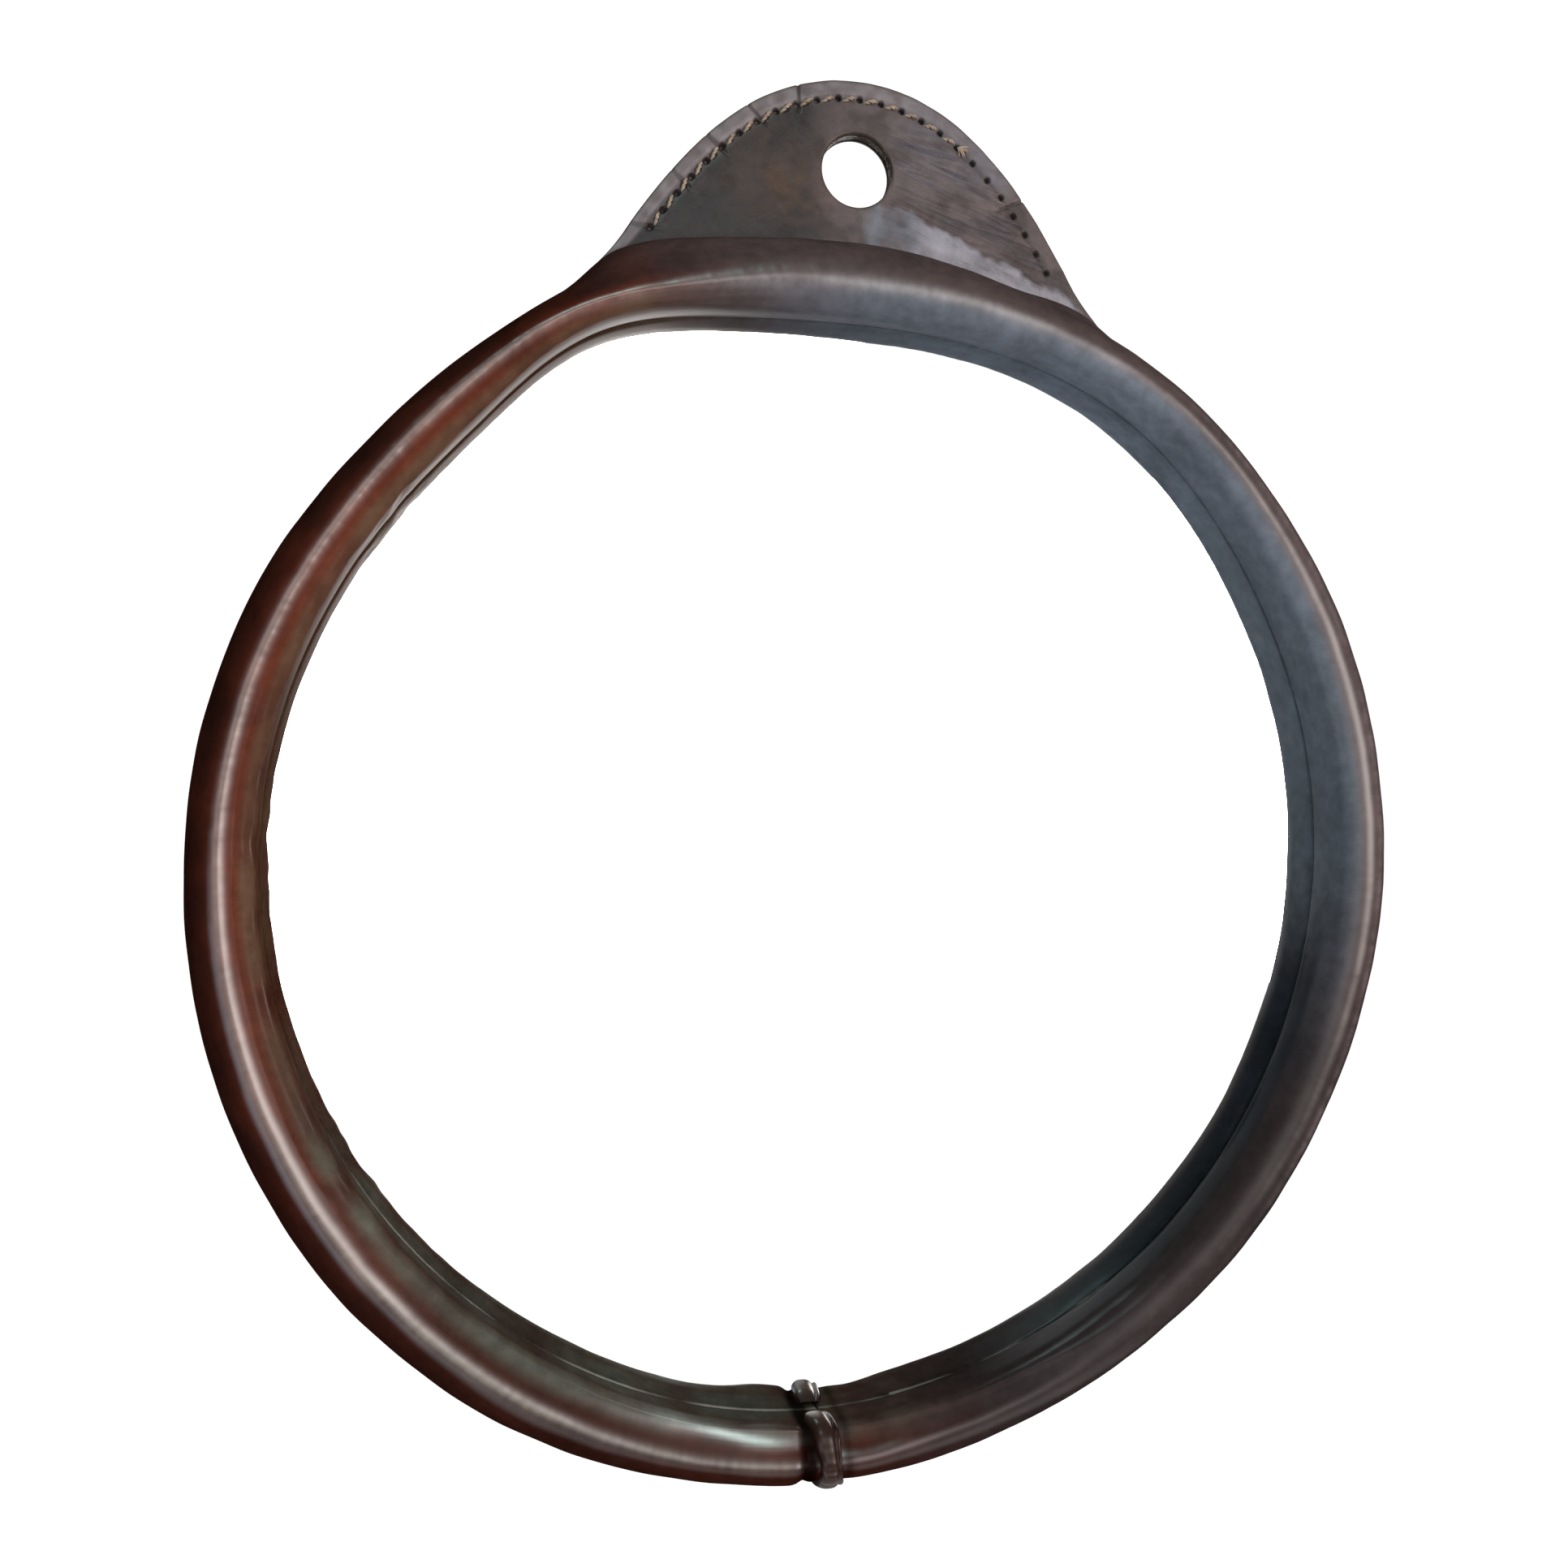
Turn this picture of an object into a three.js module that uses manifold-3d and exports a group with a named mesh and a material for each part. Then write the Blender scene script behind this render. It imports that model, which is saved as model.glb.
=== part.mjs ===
// Round wall mirror in a padded leather frame made like a horse collar: a stuffed leather roll over a
// wooden hoop, a sewn tab at the top with a hanging hole, and a leather band over the joint at the bottom.
//
// Millimetres. +Z is up and the glass faces -Y. The wall is the plane y = 0. The origin is the centre of
// the hanging hole, on that plane.
//
// The ring parts are drawn as sections. In a section, d is the distance outwards from the inner edge of the
// leather, and h is the height in front of the glass's front face.

import * as THREE from "three";
import { mergeVertices } from "three/addons/utils/BufferGeometryUtils.js";
import Module from "manifold-3d";

const wasm = await Module();
wasm.setup();

// ---------------------------------------------------------------- driving dimensions

const INNER_RADIUS = 211; // where the leather meets the glass
const ROLL_WIDTH = 25;
const OUTER_RADIUS = INNER_RADIUS + ROLL_WIDTH;
const GLASS_FRONT = 13.8; // from the wall to the front face of the glass
const GLASS_THICKNESS = 4;
const GLASS_UNDER_LIP = 9.5; // how far the glass runs in behind the leather
const LEATHER = 1.6;
const GAP = 0.3; // between pieces that touch

const BACK_H = -13; // back face of the hem, the back cover and the tab
const HEM_INNER_D = 12.5;
const PANEL_H = [-11, -7]; // back and front of the plywood
const PANEL_RADIUS = 230;
const CARD_H = [-6.6, -4.3];

const HOOP = { inner: 3, rebate: 10.5, outer: 19.2, back: -6.7, lip: 0.4, top: 9 };
const ROPE = { d: 11.3, radius: 4.6 };

const HOLE_ABOVE_CENTRE = 271; // from the ring's centre to the hanging hole
const HOLE_RADIUS = 14;
const TAB_TIP = 305;
const TAB_SHOULDER = { x: 88, z: 240 }; // where the tab's side turns outwards to the ring
const TAB_BASE_ANGLE = 58; // degrees, where the tab's edge has run into the ring
const TAB_FRONT_H = [-6.7, -4.5];
const TAB_FRONT_INNER_RADIUS = INNER_RADIUS + 23.3;
const TAB_BACK_INNER_RADIUS = INNER_RADIUS + 16.5;

const STITCH = { pitch: 8.4, edge: 7, width: 1.1, thickness: 0.7, puncture: 0.95 };
const STITCHES_LOST = 7; // the thread has gone from the right-hand end of the row

const BAND_WIDTH = 10.5;
const BAND_THICKNESS = 1.7;
const BAND_GAP = 0.55; // the flat band lies over the curved roll

const TACKS = 18;
const TACK_CIRCLE_D = 17;
const SCREWS = 6;
const SCREW_CIRCLE_D = 14;

const AROUND = 60; // facets round the ring

// ---------------------------------------------------------------- the ring's hand-made shape

// The ring isn't quite round. Each swelling is centred on an angle from +X, in degrees, and moves the
// outer and the inner edge of the roll by so many millimetres.
const SWELLINGS = [
  { at: 58, spread: 19, outer: 0, inner: 5.5 },
  { at: 97, spread: 20, outer: 5, inner: -0.5 },
  { at: 116, spread: 12, outer: 0, inner: 9.5 },
  { at: 138, spread: 12, outer: -2, inner: 0 },
  { at: 175, spread: 24, outer: 1, inner: 1.5 },
  { at: 225, spread: 28, outer: 5.5, inner: 0.5 },
  { at: 262, spread: 24, outer: 3.5, inner: 3 },
  { at: 335, spread: 40, outer: -2, inner: -3 },
];

function swelling(angle, edge) {
  let total = 0;
  for (const s of SWELLINGS) {
    const away = THREE.MathUtils.euclideanModulo(angle - s.at + 180, 360) - 180;
    total += s[edge] * Math.exp(-((away / s.spread) ** 2));
  }
  return total;
}

// A radius on the true circle becomes this radius at an angle round the real ring.
function radiusAt(radius, angle) {
  const inner = INNER_RADIUS + swelling(angle, "inner");
  const outer = OUTER_RADIUS + swelling(angle, "outer");
  if (radius <= INNER_RADIUS) return (radius * inner) / INNER_RADIUS;
  if (radius >= OUTER_RADIUS) return radius + outer - OUTER_RADIUS;
  return inner + ((radius - INNER_RADIUS) / ROLL_WIDTH) * (outer - inner);
}

function shapeLikeRing(geometry) {
  const p = geometry.getAttribute("position");
  for (let i = 0; i < p.count; i++) {
    const x = p.getX(i);
    const z = p.getZ(i);
    const radius = Math.hypot(x, z);
    if (radius < 1e-6) continue;
    const angle = THREE.MathUtils.radToDeg(Math.atan2(z, x));
    const factor = radiusAt(radius, angle) / radius;
    p.setX(i, x * factor);
    p.setZ(i, z * factor);
  }
  return geometry;
}

// ---------------------------------------------------------------- solids

function welded(geometry) {
  geometry.deleteAttribute("normal");
  geometry.deleteAttribute("uv");
  return mergeVertices(geometry, 1e-4);
}

function toSolid(geometry) {
  const g = welded(geometry);
  const triVerts = new Uint32Array(g.index.array);
  const vertProperties = g.attributes.position.array;
  const solid = new wasm.Manifold(new wasm.Mesh({ numProp: 3, vertProperties, triVerts }));
  if (solid.volume() > 0) return solid;
  for (let i = 0; i < triVerts.length; i += 3) {
    [triVerts[i + 1], triVerts[i + 2]] = [triVerts[i + 2], triVerts[i + 1]];
  }
  return new wasm.Manifold(new wasm.Mesh({ numProp: 3, vertProperties, triVerts }));
}

function toGeometry(solid) {
  const mesh = solid.getMesh();
  const geometry = new THREE.BufferGeometry();
  const positions = new Float32Array(mesh.numVert * 3);
  for (let i = 0; i < mesh.numVert; i++) {
    for (let k = 0; k < 3; k++) positions[3 * i + k] = mesh.vertProperties[i * mesh.numProp + k];
  }
  geometry.setAttribute("position", new THREE.BufferAttribute(positions, 3));
  geometry.setIndex(new THREE.BufferAttribute(new Uint32Array(mesh.triVerts), 1));
  return geometry;
}

const subtractAll = (solid, cutters) => cutters.reduce((rest, cutter) => rest.subtract(cutter), solid);
const joinAll = (solids) => solids.reduce((all, solid) => all.add(solid));

// A closed section, as [d, h] pairs, swept once round the ring's axis.
function ringOf(section) {
  const profile = section.map(([d, h]) => new THREE.Vector2(INNER_RADIUS + d, -(GLASS_FRONT + h)));
  profile.push(profile[0].clone());
  return toSolid(shapeLikeRing(new THREE.LatheGeometry(profile, AROUND)));
}

// A flat round sheet of one radius between two heights.
function discOf(radius, [back, front]) {
  const profile = [
    [0, back],
    [radius, back],
    [radius, front],
    [0, front],
  ].map(([r, h]) => new THREE.Vector2(r, -(GLASS_FRONT + h)));
  return toSolid(shapeLikeRing(new THREE.LatheGeometry(profile, AROUND)));
}

// A shape drawn in x and z, made into a plate between two heights.
function plateOf(shape, [back, front]) {
  const geometry = new THREE.ExtrudeGeometry(shape, {
    depth: front - back,
    bevelEnabled: false,
    curveSegments: 14,
  });
  geometry.rotateX(Math.PI / 2); // drawn y is now +Z, and the plate grows towards -Y
  geometry.translate(0, -(GLASS_FRONT + back), 0);
  return toSolid(geometry);
}

// A pin along Y whose radius changes with height: pairs of [radius, h].
function pinOf(steps, sides, x, z) {
  const profile = steps.map(([r, h]) => new THREE.Vector2(r, -(GLASS_FRONT + h)));
  const geometry = new THREE.LatheGeometry(profile, sides);
  geometry.translate(x, 0, z);
  return toSolid(geometry);
}

function blockOf(x, [back, front], z) {
  const geometry = new THREE.BoxGeometry(x[1] - x[0], front - back, z[1] - z[0]);
  geometry.translate((x[0] + x[1]) / 2, -(GLASS_FRONT + (back + front) / 2), (z[0] + z[1]) / 2);
  return toSolid(geometry);
}

// Places on a circle in the roll, at equal steps from a first angle.
function roundTheRing(count, d, firstAngle) {
  const places = [];
  for (let i = 0; i < count; i++) {
    const angle = firstAngle + (360 * i) / count;
    const radius = radiusAt(INNER_RADIUS + d, angle);
    const turn = THREE.MathUtils.degToRad(angle);
    places.push({ angle, x: radius * Math.cos(turn), z: radius * Math.sin(turn) });
  }
  return places;
}

// ---------------------------------------------------------------- sections of the roll

// The leather's outer face, from the glass, up the inner wall and round its bead, over the crown of the
// roll, down the outside and under to the hem.
const SKIN = [
  [0.0, 0.4],
  [-0.6, 5],
  [-0.9, 11],
  [-0.6, 15.6],
  [0.8, 18.4],
  [3.0, 19.5],
  [5.0, 20.7],
  [7.3, 22.7],
  [10.0, 23.8],
  [13.0, 23.5],
  [16.4, 21.2],
  [19.4, 17.2],
  [21.6, 12.4],
  [23.5, 7],
  [24.8, 0],
  [25.0, -5],
  [24.2, -9.5],
  [22.3, -12.3],
  [19.2, BACK_H],
  [HEM_INNER_D, BACK_H],
];

// A line moved sideways by a distance, positive into the roll.
function offsetLine(line, distance) {
  return line.map((point, i) => {
    const before = line[Math.max(i - 1, 0)];
    const after = line[Math.min(i + 1, line.length - 1)];
    const along = new THREE.Vector2(after[0] - before[0], after[1] - before[1]).normalize();
    return [point[0] + along.y * distance, point[1] - along.x * distance];
  });
}

const leatherSection = [...SKIN, ...offsetLine(SKIN, LEATHER).reverse()];

const ROPE_H = HOOP.top + GAP + ROPE.radius;
const ropeSection = [];
const ROPE_SIDES = 8;
for (let i = 0; i < ROPE_SIDES; i++) {
  const turn = (2 * Math.PI * (i + 0.5)) / ROPE_SIDES;
  ropeSection.push([ROPE.d + ROPE.radius * Math.cos(turn), ROPE_H + ROPE.radius * Math.sin(turn)]);
}

const hoopSection = [
  [HOOP.rebate, HOOP.back],
  [HOOP.outer, HOOP.back],
  [HOOP.outer, HOOP.top - 2.5],
  [HOOP.outer - 2.5, HOOP.top],
  [HOOP.inner + 1, HOOP.top],
  [HOOP.inner, HOOP.top - 1],
  [HOOP.inner, HOOP.lip],
  [HOOP.rebate, HOOP.lip],
];

const lipFeltSection = [
  [1.8, 1],
  [HOOP.inner - GAP, 1],
  [HOOP.inner - GAP, HOOP.top - 1],
  [1.7, HOOP.top - 1],
];

const edgeFeltSection = [
  [HOOP.outer + GAP, -6.4],
  [22.8, -6],
  [22.7, -1],
  [21.1, 5.6],
  [HOOP.outer + GAP, HOOP.top - 2.6],
];

// The wadding fills the space over the hoop, arched over the rope.
const channel = ROPE.radius + 0.8;
const waddingOuter = offsetLine(SKIN, LEATHER + GAP).slice(2, 12);
const waddingSection = [
  [1.7, HOOP.top + GAP],
  ...waddingOuter,
  [20.4, 9.0],
  [HOOP.outer - 1.9, HOOP.top + GAP],
  [ROPE.d + channel, HOOP.top + GAP],
  [ROPE.d + channel, ROPE_H],
  [ROPE.d + channel * 0.71, ROPE_H + channel * 0.71],
  [ROPE.d, ROPE_H + channel],
  [ROPE.d - channel * 0.71, ROPE_H + channel * 0.71],
  [ROPE.d - channel, ROPE_H],
  [ROPE.d - channel, HOOP.top + GAP],
];

// ---------------------------------------------------------------- the tab

// One half of the tab's outline, from the tip down its side and out along the ring. side is 1 or -1.
function tabSide(side, margin) {
  const grow = 1 + margin / TAB_TIP;
  const at = (x, z) => new THREE.Vector2(side * x * grow, z * grow);
  const base = THREE.MathUtils.degToRad(TAB_BASE_ANGLE - margin / 4);
  const baseRadius = OUTER_RADIUS + 1;
  const path = new THREE.CurvePath();
  const shoulder = at(TAB_SHOULDER.x, TAB_SHOULDER.z);
  path.add(new THREE.CubicBezierCurve(at(0, TAB_TIP), at(36, TAB_TIP), at(62, 281), shoulder));
  const foot = at(baseRadius * Math.cos(base), baseRadius * Math.sin(base));
  path.add(new THREE.CubicBezierCurve(shoulder, at(94, 229.5), at(104, 217.5), foot));
  return path;
}

// The whole outline, closed along an arc round the ring's centre.
function tabShape(innerRadius, margin = 0, withHole = true) {
  const divisions = 10;
  const right = tabSide(1, margin).getPoints(divisions).reverse();
  const left = tabSide(-1, margin).getPoints(divisions);
  const base = THREE.MathUtils.degToRad(TAB_BASE_ANGLE - margin / 4);
  const outline = [...right, ...left.slice(1)];
  const arcSteps = 14;
  for (let i = 0; i <= arcSteps; i++) {
    const turn = Math.PI - base - ((Math.PI - 2 * base) * i) / arcSteps;
    const radius = radiusAt(innerRadius, THREE.MathUtils.radToDeg(turn));
    outline.push(new THREE.Vector2(radius * Math.cos(turn), radius * Math.sin(turn)));
  }
  const shape = new THREE.Shape(outline);
  if (withHole) {
    shape.holes.push(new THREE.Path().absarc(0, HOLE_ABOVE_CENTRE, HOLE_RADIUS, 0, 2 * Math.PI, true));
  }
  return shape;
}

// The punctures along a line inside the tab's edge, from the left foot to the right one.
function puncturePlaces() {
  const line = [];
  for (const [side, from, to] of [
    [-1, 1, 0],
    [1, 0, 1],
  ]) {
    const curve = tabSide(side, 0).curves[0];
    const steps = 60;
    for (let i = 0; i <= steps; i++) {
      const u = from + ((to - from) * i) / steps;
      const point = curve.getPointAt(u);
      const along = curve.getTangentAt(u).multiplyScalar(side);
      line.push(new THREE.Vector3(point.x + along.y * STITCH.edge, point.y - along.x * STITCH.edge, 0));
    }
  }
  const path = new THREE.CatmullRomCurve3(line);
  const count = Math.floor(path.getLength() / STITCH.pitch);
  const places = [];
  for (let i = 0; i < count; i++) {
    const point = path.getPointAt((i + 0.5) / count);
    places.push({ x: point.x, z: point.y });
  }
  return places;
}

const punctures = puncturePlaces();
const THREAD_FRONT_H = [TAB_FRONT_H[1] + 0.15, TAB_FRONT_H[1] + 0.15 + STITCH.thickness];
const THREAD_BACK_H = [BACK_H - 0.15 - STITCH.thickness, BACK_H - 0.15];

function punctureHole({ x, z }) {
  const back = BACK_H - 1;
  const front = TAB_FRONT_H[1] + 1;
  const steps = [
    [0, back],
    [STITCH.puncture, back],
    [STITCH.puncture, front],
    [0, front],
  ];
  return pinOf(steps, 6, x, z);
}

function threadBar(from, to, [back, front]) {
  const length = Math.hypot(to.x - from.x, to.z - from.z);
  const geometry = new THREE.BoxGeometry(length, front - back, STITCH.width);
  geometry.rotateY(-Math.atan2(to.z - from.z, to.x - from.x));
  geometry.translate((from.x + to.x) / 2, -(GLASS_FRONT + (back + front) / 2), (from.z + to.z) / 2);
  return toSolid(geometry);
}

// Saddle stitch: a bar on each face between neighbouring punctures, joined through every puncture.
function threadSolid() {
  const sewn = punctures.slice(0, -STITCHES_LOST);
  const bars = [];
  for (let i = 1; i < sewn.length; i++) {
    bars.push(threadBar(sewn[i - 1], sewn[i], THREAD_FRONT_H));
    bars.push(threadBar(sewn[i - 1], sewn[i], THREAD_BACK_H));
  }
  const steps = [
    [0, THREAD_BACK_H[0]],
    [STITCH.width / 2, THREAD_BACK_H[0]],
    [STITCH.width / 2, THREAD_FRONT_H[1]],
    [0, THREAD_FRONT_H[1]],
  ];
  return joinAll([...bars, ...sewn.map(({ x, z }) => pinOf(steps, 6, x, z))]);
}

// ---------------------------------------------------------------- fasteners

const tackPlaces = roundTheRing(TACKS, TACK_CIRCLE_D, 270 + 360 / TACKS / 2);
const screwPlaces = roundTheRing(SCREWS, SCREW_CIRCLE_D, 310); // halfway between tacks
const fromTop = (angle) => Math.abs(THREE.MathUtils.euclideanModulo(angle, 360) - 90);
const hemTacks = tackPlaces.filter(({ angle }) => fromTop(angle) > 92 - TAB_BASE_ANGLE);
const bandTacks = [HEM_INNER_D + 2, HEM_INNER_D + 6.7].map((d) => ({
  x: 0,
  z: -radiusAt(INNER_RADIUS + d, 270),
}));

const TACK_HEAD = 0.8;
const TACK_LENGTH = 5;

function tackOf({ x, z }) {
  const under = BACK_H - 0.05;
  const steps = [
    [0, BACK_H - TACK_HEAD],
    [1.3, BACK_H - TACK_HEAD],
    [2.2, under - 0.25],
    [2.2, under],
    [0.7, under],
    [0.7, BACK_H + TACK_LENGTH - 1],
    [0, BACK_H + TACK_LENGTH],
  ];
  return pinOf(steps, 8, x, z);
}

function tackHole({ x, z }) {
  const steps = [
    [0, BACK_H - 1],
    [1, BACK_H - 1],
    [1, -7.5],
    [0, -7.5],
  ];
  return pinOf(steps, 8, x, z);
}

function screwOf({ x, z }) {
  const head = PANEL_H[0] + 0.2;
  const steps = [
    [0, head],
    [3.4, head],
    [1.7, head + 2.2],
    [1.7, 4],
    [0, 6],
  ];
  return pinOf(steps, 8, x, z);
}

function screwHole({ x, z }) {
  const face = PANEL_H[0];
  const steps = [
    [0, face - 1],
    [3.8, face - 1],
    [3.8, face + 0.2],
    [2, face + 2.4],
    [2, 7],
    [0, 7],
  ];
  return pinOf(steps, 8, x, z);
}

// ---------------------------------------------------------------- the joint band

// The band is the skin's line, one leather thickness further out, with its tail laid flat in a notch in the hem.
function bandSection() {
  const over = SKIN.slice(0, 17);
  const inside = offsetLine(over, -BAND_GAP);
  const outside = offsetLine(over, -(BAND_GAP + BAND_THICKNESS));
  return [
    ...outside,
    [25.2, -12],
    [23.6, BACK_H],
    [HEM_INNER_D, BACK_H],
    [HEM_INNER_D, BACK_H + LEATHER],
    [23.2, BACK_H + LEATHER],
    [24.0, -10.4],
    ...inside.reverse(),
  ];
}

function bandSolid() {
  const shape = new THREE.Shape(
    bandSection().map(([d, h]) => new THREE.Vector2(-radiusAt(INNER_RADIUS + d, 270), GLASS_FRONT + h)),
  );
  const geometry = new THREE.ExtrudeGeometry(shape, { depth: BAND_WIDTH, bevelEnabled: false });
  // Drawn x is Z, drawn y is distance from the wall, and the band's width lies along X.
  const toFrame = new THREE.Matrix4().set(0, 0, 1, -BAND_WIDTH / 2, 0, -1, 0, 0, 1, 0, 0, 0, 0, 0, 0, 1);
  return toSolid(geometry.applyMatrix4(toFrame));
}

// The notch in the hem that takes the band's tail, and the butt joint between the ends of the leather.
const halfNotch = BAND_WIDTH / 2 + GAP;
const bandNotch = blockOf([-halfNotch, halfNotch], [BACK_H - 2, -8], [-OUTER_RADIUS - 10, -INNER_RADIUS - 10]);
const buttJoint = blockOf([-0.3, 0.3], [BACK_H - 2, 30], [-OUTER_RADIUS - 10, -INNER_RADIUS + 10]);

// ---------------------------------------------------------------- the pieces

const tabSlot = plateOf(tabShape(TAB_BACK_INNER_RADIUS - GAP, 1.2, false), [BACK_H - 1, TAB_FRONT_H[1] + GAP]);
const tackHoles = [...hemTacks, ...bandTacks].map(tackHole);
const screwHoles = screwPlaces.map(screwHole);
const punctureHoles = punctures.map(punctureHole);

const solids = {
  mirror_glass: discOf(INNER_RADIUS + GLASS_UNDER_LIP, [-GLASS_THICKNESS, 0]),
  glass_card: discOf(INNER_RADIUS + GLASS_UNDER_LIP - 1, CARD_H),
  wooden_hoop: subtractAll(ringOf(hoopSection), screwHoles),
  roll_rope: ringOf(ropeSection),
  roll_wadding: ringOf(waddingSection),
  lip_felt: ringOf(lipFeltSection),
  edge_felt: ringOf(edgeFeltSection),
  roll_cover: subtractAll(ringOf(leatherSection), [tabSlot, bandNotch, buttJoint, ...tackHoles]),
  joint_band: subtractAll(bandSolid(), bandTacks.map(tackHole)),
  back_panel: subtractAll(
    discOf(PANEL_RADIUS, PANEL_H).add(plateOf(tabShape(PANEL_RADIUS - 10), PANEL_H)),
    [...tackHoles, ...screwHoles, ...punctureHoles],
  ),
  back_cover: discOf(INNER_RADIUS + HEM_INNER_D - GAP - 0.3, [BACK_H, BACK_H + LEATHER]),
  tab_front: subtractAll(plateOf(tabShape(TAB_FRONT_INNER_RADIUS), TAB_FRONT_H), punctureHoles),
  tab_back: subtractAll(
    plateOf(tabShape(TAB_BACK_INNER_RADIUS), [BACK_H, BACK_H + LEATHER]),
    punctureHoles,
  ),
  tab_thread: threadSolid(),
};

const numbered = (name, i) => name + "_" + String(i + 1).padStart(2, "0");
hemTacks.forEach((place, i) => (solids[numbered("hem_tack", i)] = tackOf(place)));
bandTacks.forEach((place, i) => (solids[numbered("band_tack", i)] = tackOf(place)));
screwPlaces.forEach((place, i) => (solids[numbered("panel_screw", i)] = screwOf(place)));

const MATERIALS = {
  mirror: { color: 0xe8ecec, roughness: 0.03, metalness: 1 },
  card: { color: 0x8c7a5e, roughness: 0.9, metalness: 0 },
  wood: { color: 0xa98a5c, roughness: 0.7, metalness: 0 },
  rope: { color: 0xb09a6c, roughness: 0.9, metalness: 0 },
  wadding: { color: 0xcabfa6, roughness: 1, metalness: 0 },
  felt: { color: 0x77736a, roughness: 1, metalness: 0 },
  leather: { color: 0x33190f, roughness: 0.35, metalness: 0 },
  tabLeather: { color: 0x4a3630, roughness: 0.45, metalness: 0 },
  backLeather: { color: 0x3d2a20, roughness: 0.7, metalness: 0 },
  thread: { color: 0x6e5038, roughness: 0.8, metalness: 0 },
  steel: { color: 0x55524e, roughness: 0.4, metalness: 1 },
};

const FINISH = {
  mirror_glass: "mirror",
  glass_card: "card",
  wooden_hoop: "wood",
  roll_rope: "rope",
  roll_wadding: "wadding",
  lip_felt: "felt",
  edge_felt: "felt",
  roll_cover: "leather",
  joint_band: "leather",
  back_panel: "wood",
  back_cover: "backLeather",
  tab_front: "tabLeather",
  tab_back: "backLeather",
  tab_thread: "thread",
  hem_tack: "steel",
  band_tack: "steel",
  panel_screw: "steel",
};

const mirror = new THREE.Group();
mirror.position.z = -HOLE_ABOVE_CENTRE;
for (const [name, solid] of Object.entries(solids)) {
  const finish = FINISH[name.replace(/_\d+$/, "")];
  const mesh = new THREE.Mesh(toGeometry(solid), new THREE.MeshStandardMaterial(MATERIALS[finish]));
  mesh.name = name;
  mirror.add(mesh);
}

const part = new THREE.Group();
part.add(mirror);

export default part;
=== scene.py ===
"""Looks of the round leather wall mirror made in horse-collar style."""

import math

import bpy
import numpy as np
from mathutils import Matrix, Vector, noise


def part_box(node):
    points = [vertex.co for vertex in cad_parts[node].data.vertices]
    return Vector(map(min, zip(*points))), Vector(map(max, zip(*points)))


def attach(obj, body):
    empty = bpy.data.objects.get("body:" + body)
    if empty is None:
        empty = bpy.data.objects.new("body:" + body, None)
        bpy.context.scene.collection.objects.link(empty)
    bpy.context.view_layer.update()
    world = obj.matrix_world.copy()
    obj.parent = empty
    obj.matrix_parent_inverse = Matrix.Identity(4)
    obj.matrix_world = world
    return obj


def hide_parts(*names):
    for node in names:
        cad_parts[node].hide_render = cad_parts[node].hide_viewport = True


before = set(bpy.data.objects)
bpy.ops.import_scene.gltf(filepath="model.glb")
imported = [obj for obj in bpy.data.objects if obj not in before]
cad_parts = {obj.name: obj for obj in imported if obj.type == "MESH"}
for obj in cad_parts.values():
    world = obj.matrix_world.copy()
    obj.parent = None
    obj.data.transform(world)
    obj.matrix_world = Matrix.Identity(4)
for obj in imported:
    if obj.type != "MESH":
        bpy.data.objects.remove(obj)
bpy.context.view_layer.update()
scene = bpy.context.scene

# Lengths are in mm. A point is given by x and z from the ring's centre and by h, in front of the glass.
# Angles are in degrees, from the right-hand side upwards: the tab is at 90 and the joint at 270.
MM = 0.001
RING_Z = -271.0  # the ring's centre, from the hanging hole
GLASS_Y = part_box("mirror_glass")[0].y / MM  # the glass's front face
BACK_H = -13.0
INNER_RADIUS = 211.0
ROLL_WIDTH = 25.0
OUTER_RADIUS = INNER_RADIUS + ROLL_WIDTH
JOINT = 270
TAB_FRONT_H = -4.5
TAB_TIP = 305.0
TAB_BASE = 58.0  # the angle of the tab's right foot
PANEL_FRONT_H = -7.0
PANEL_BACK_H = -11.0
HOLE = (0.0, 271.0)
HOLE_RADIUS = 14.0
ROUND = 720  # points round the tab's back and the panel
SEGMENTS = 360  # points round a disc


def place(x, z, h):
    """A point, or arrays of them, in the frame's metres."""
    return (x * MM, (GLASS_Y - h) * MM, (z + RING_Z) * MM)


def rows_of_places(x, z, h):
    return np.column_stack(np.broadcast_arrays(*place(x, z, h)))


# ---------------------------------------------------------------- camera


def add_camera(eye, aim, lens, roll):
    """The camera looks from eye to aim, turned by roll degrees about its own axis."""
    data = bpy.data.cameras.new("camera")
    data.lens = lens
    data.sensor_width = 36
    data.clip_start = 0.01
    camera = bpy.data.objects.new("camera", data)
    scene.collection.objects.link(camera)
    forward = (Vector(aim) - Vector(eye)).normalized()
    up_hint = Vector((-math.sin(math.radians(roll)), 0, math.cos(math.radians(roll))))
    right = forward.cross(up_hint).normalized()
    up = right.cross(forward)
    turn = Matrix((right, up, -forward)).transposed()
    camera.matrix_world = Matrix.Translation(Vector(eye)) @ turn.to_4x4()
    scene.camera = camera


add_camera(eye=place(-132.24, 44.39, 506.12), aim=place(-21.90, 31.89, 0), lens=30.83, roll=2.0)

# ---------------------------------------------------------------- curves and meshes


def smoothstep(a, b, x):
    t = np.clip((np.asarray(x, float) - a) / (b - a), 0, 1)
    return t * t * (3 - 2 * t)


def bump_at(x, centre, width):
    return np.exp(-(((np.asarray(x, float) - centre) / width) ** 2))


def from_angle(angle, centre):
    """How far an angle is from another, from -180 to 180."""
    return (np.asarray(angle, float) - centre + 180) % 360 - 180


def turned(radius, angle):
    """x and z at a radius and an angle."""
    return radius * np.cos(np.radians(angle)), radius * np.sin(np.radians(angle))


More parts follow.
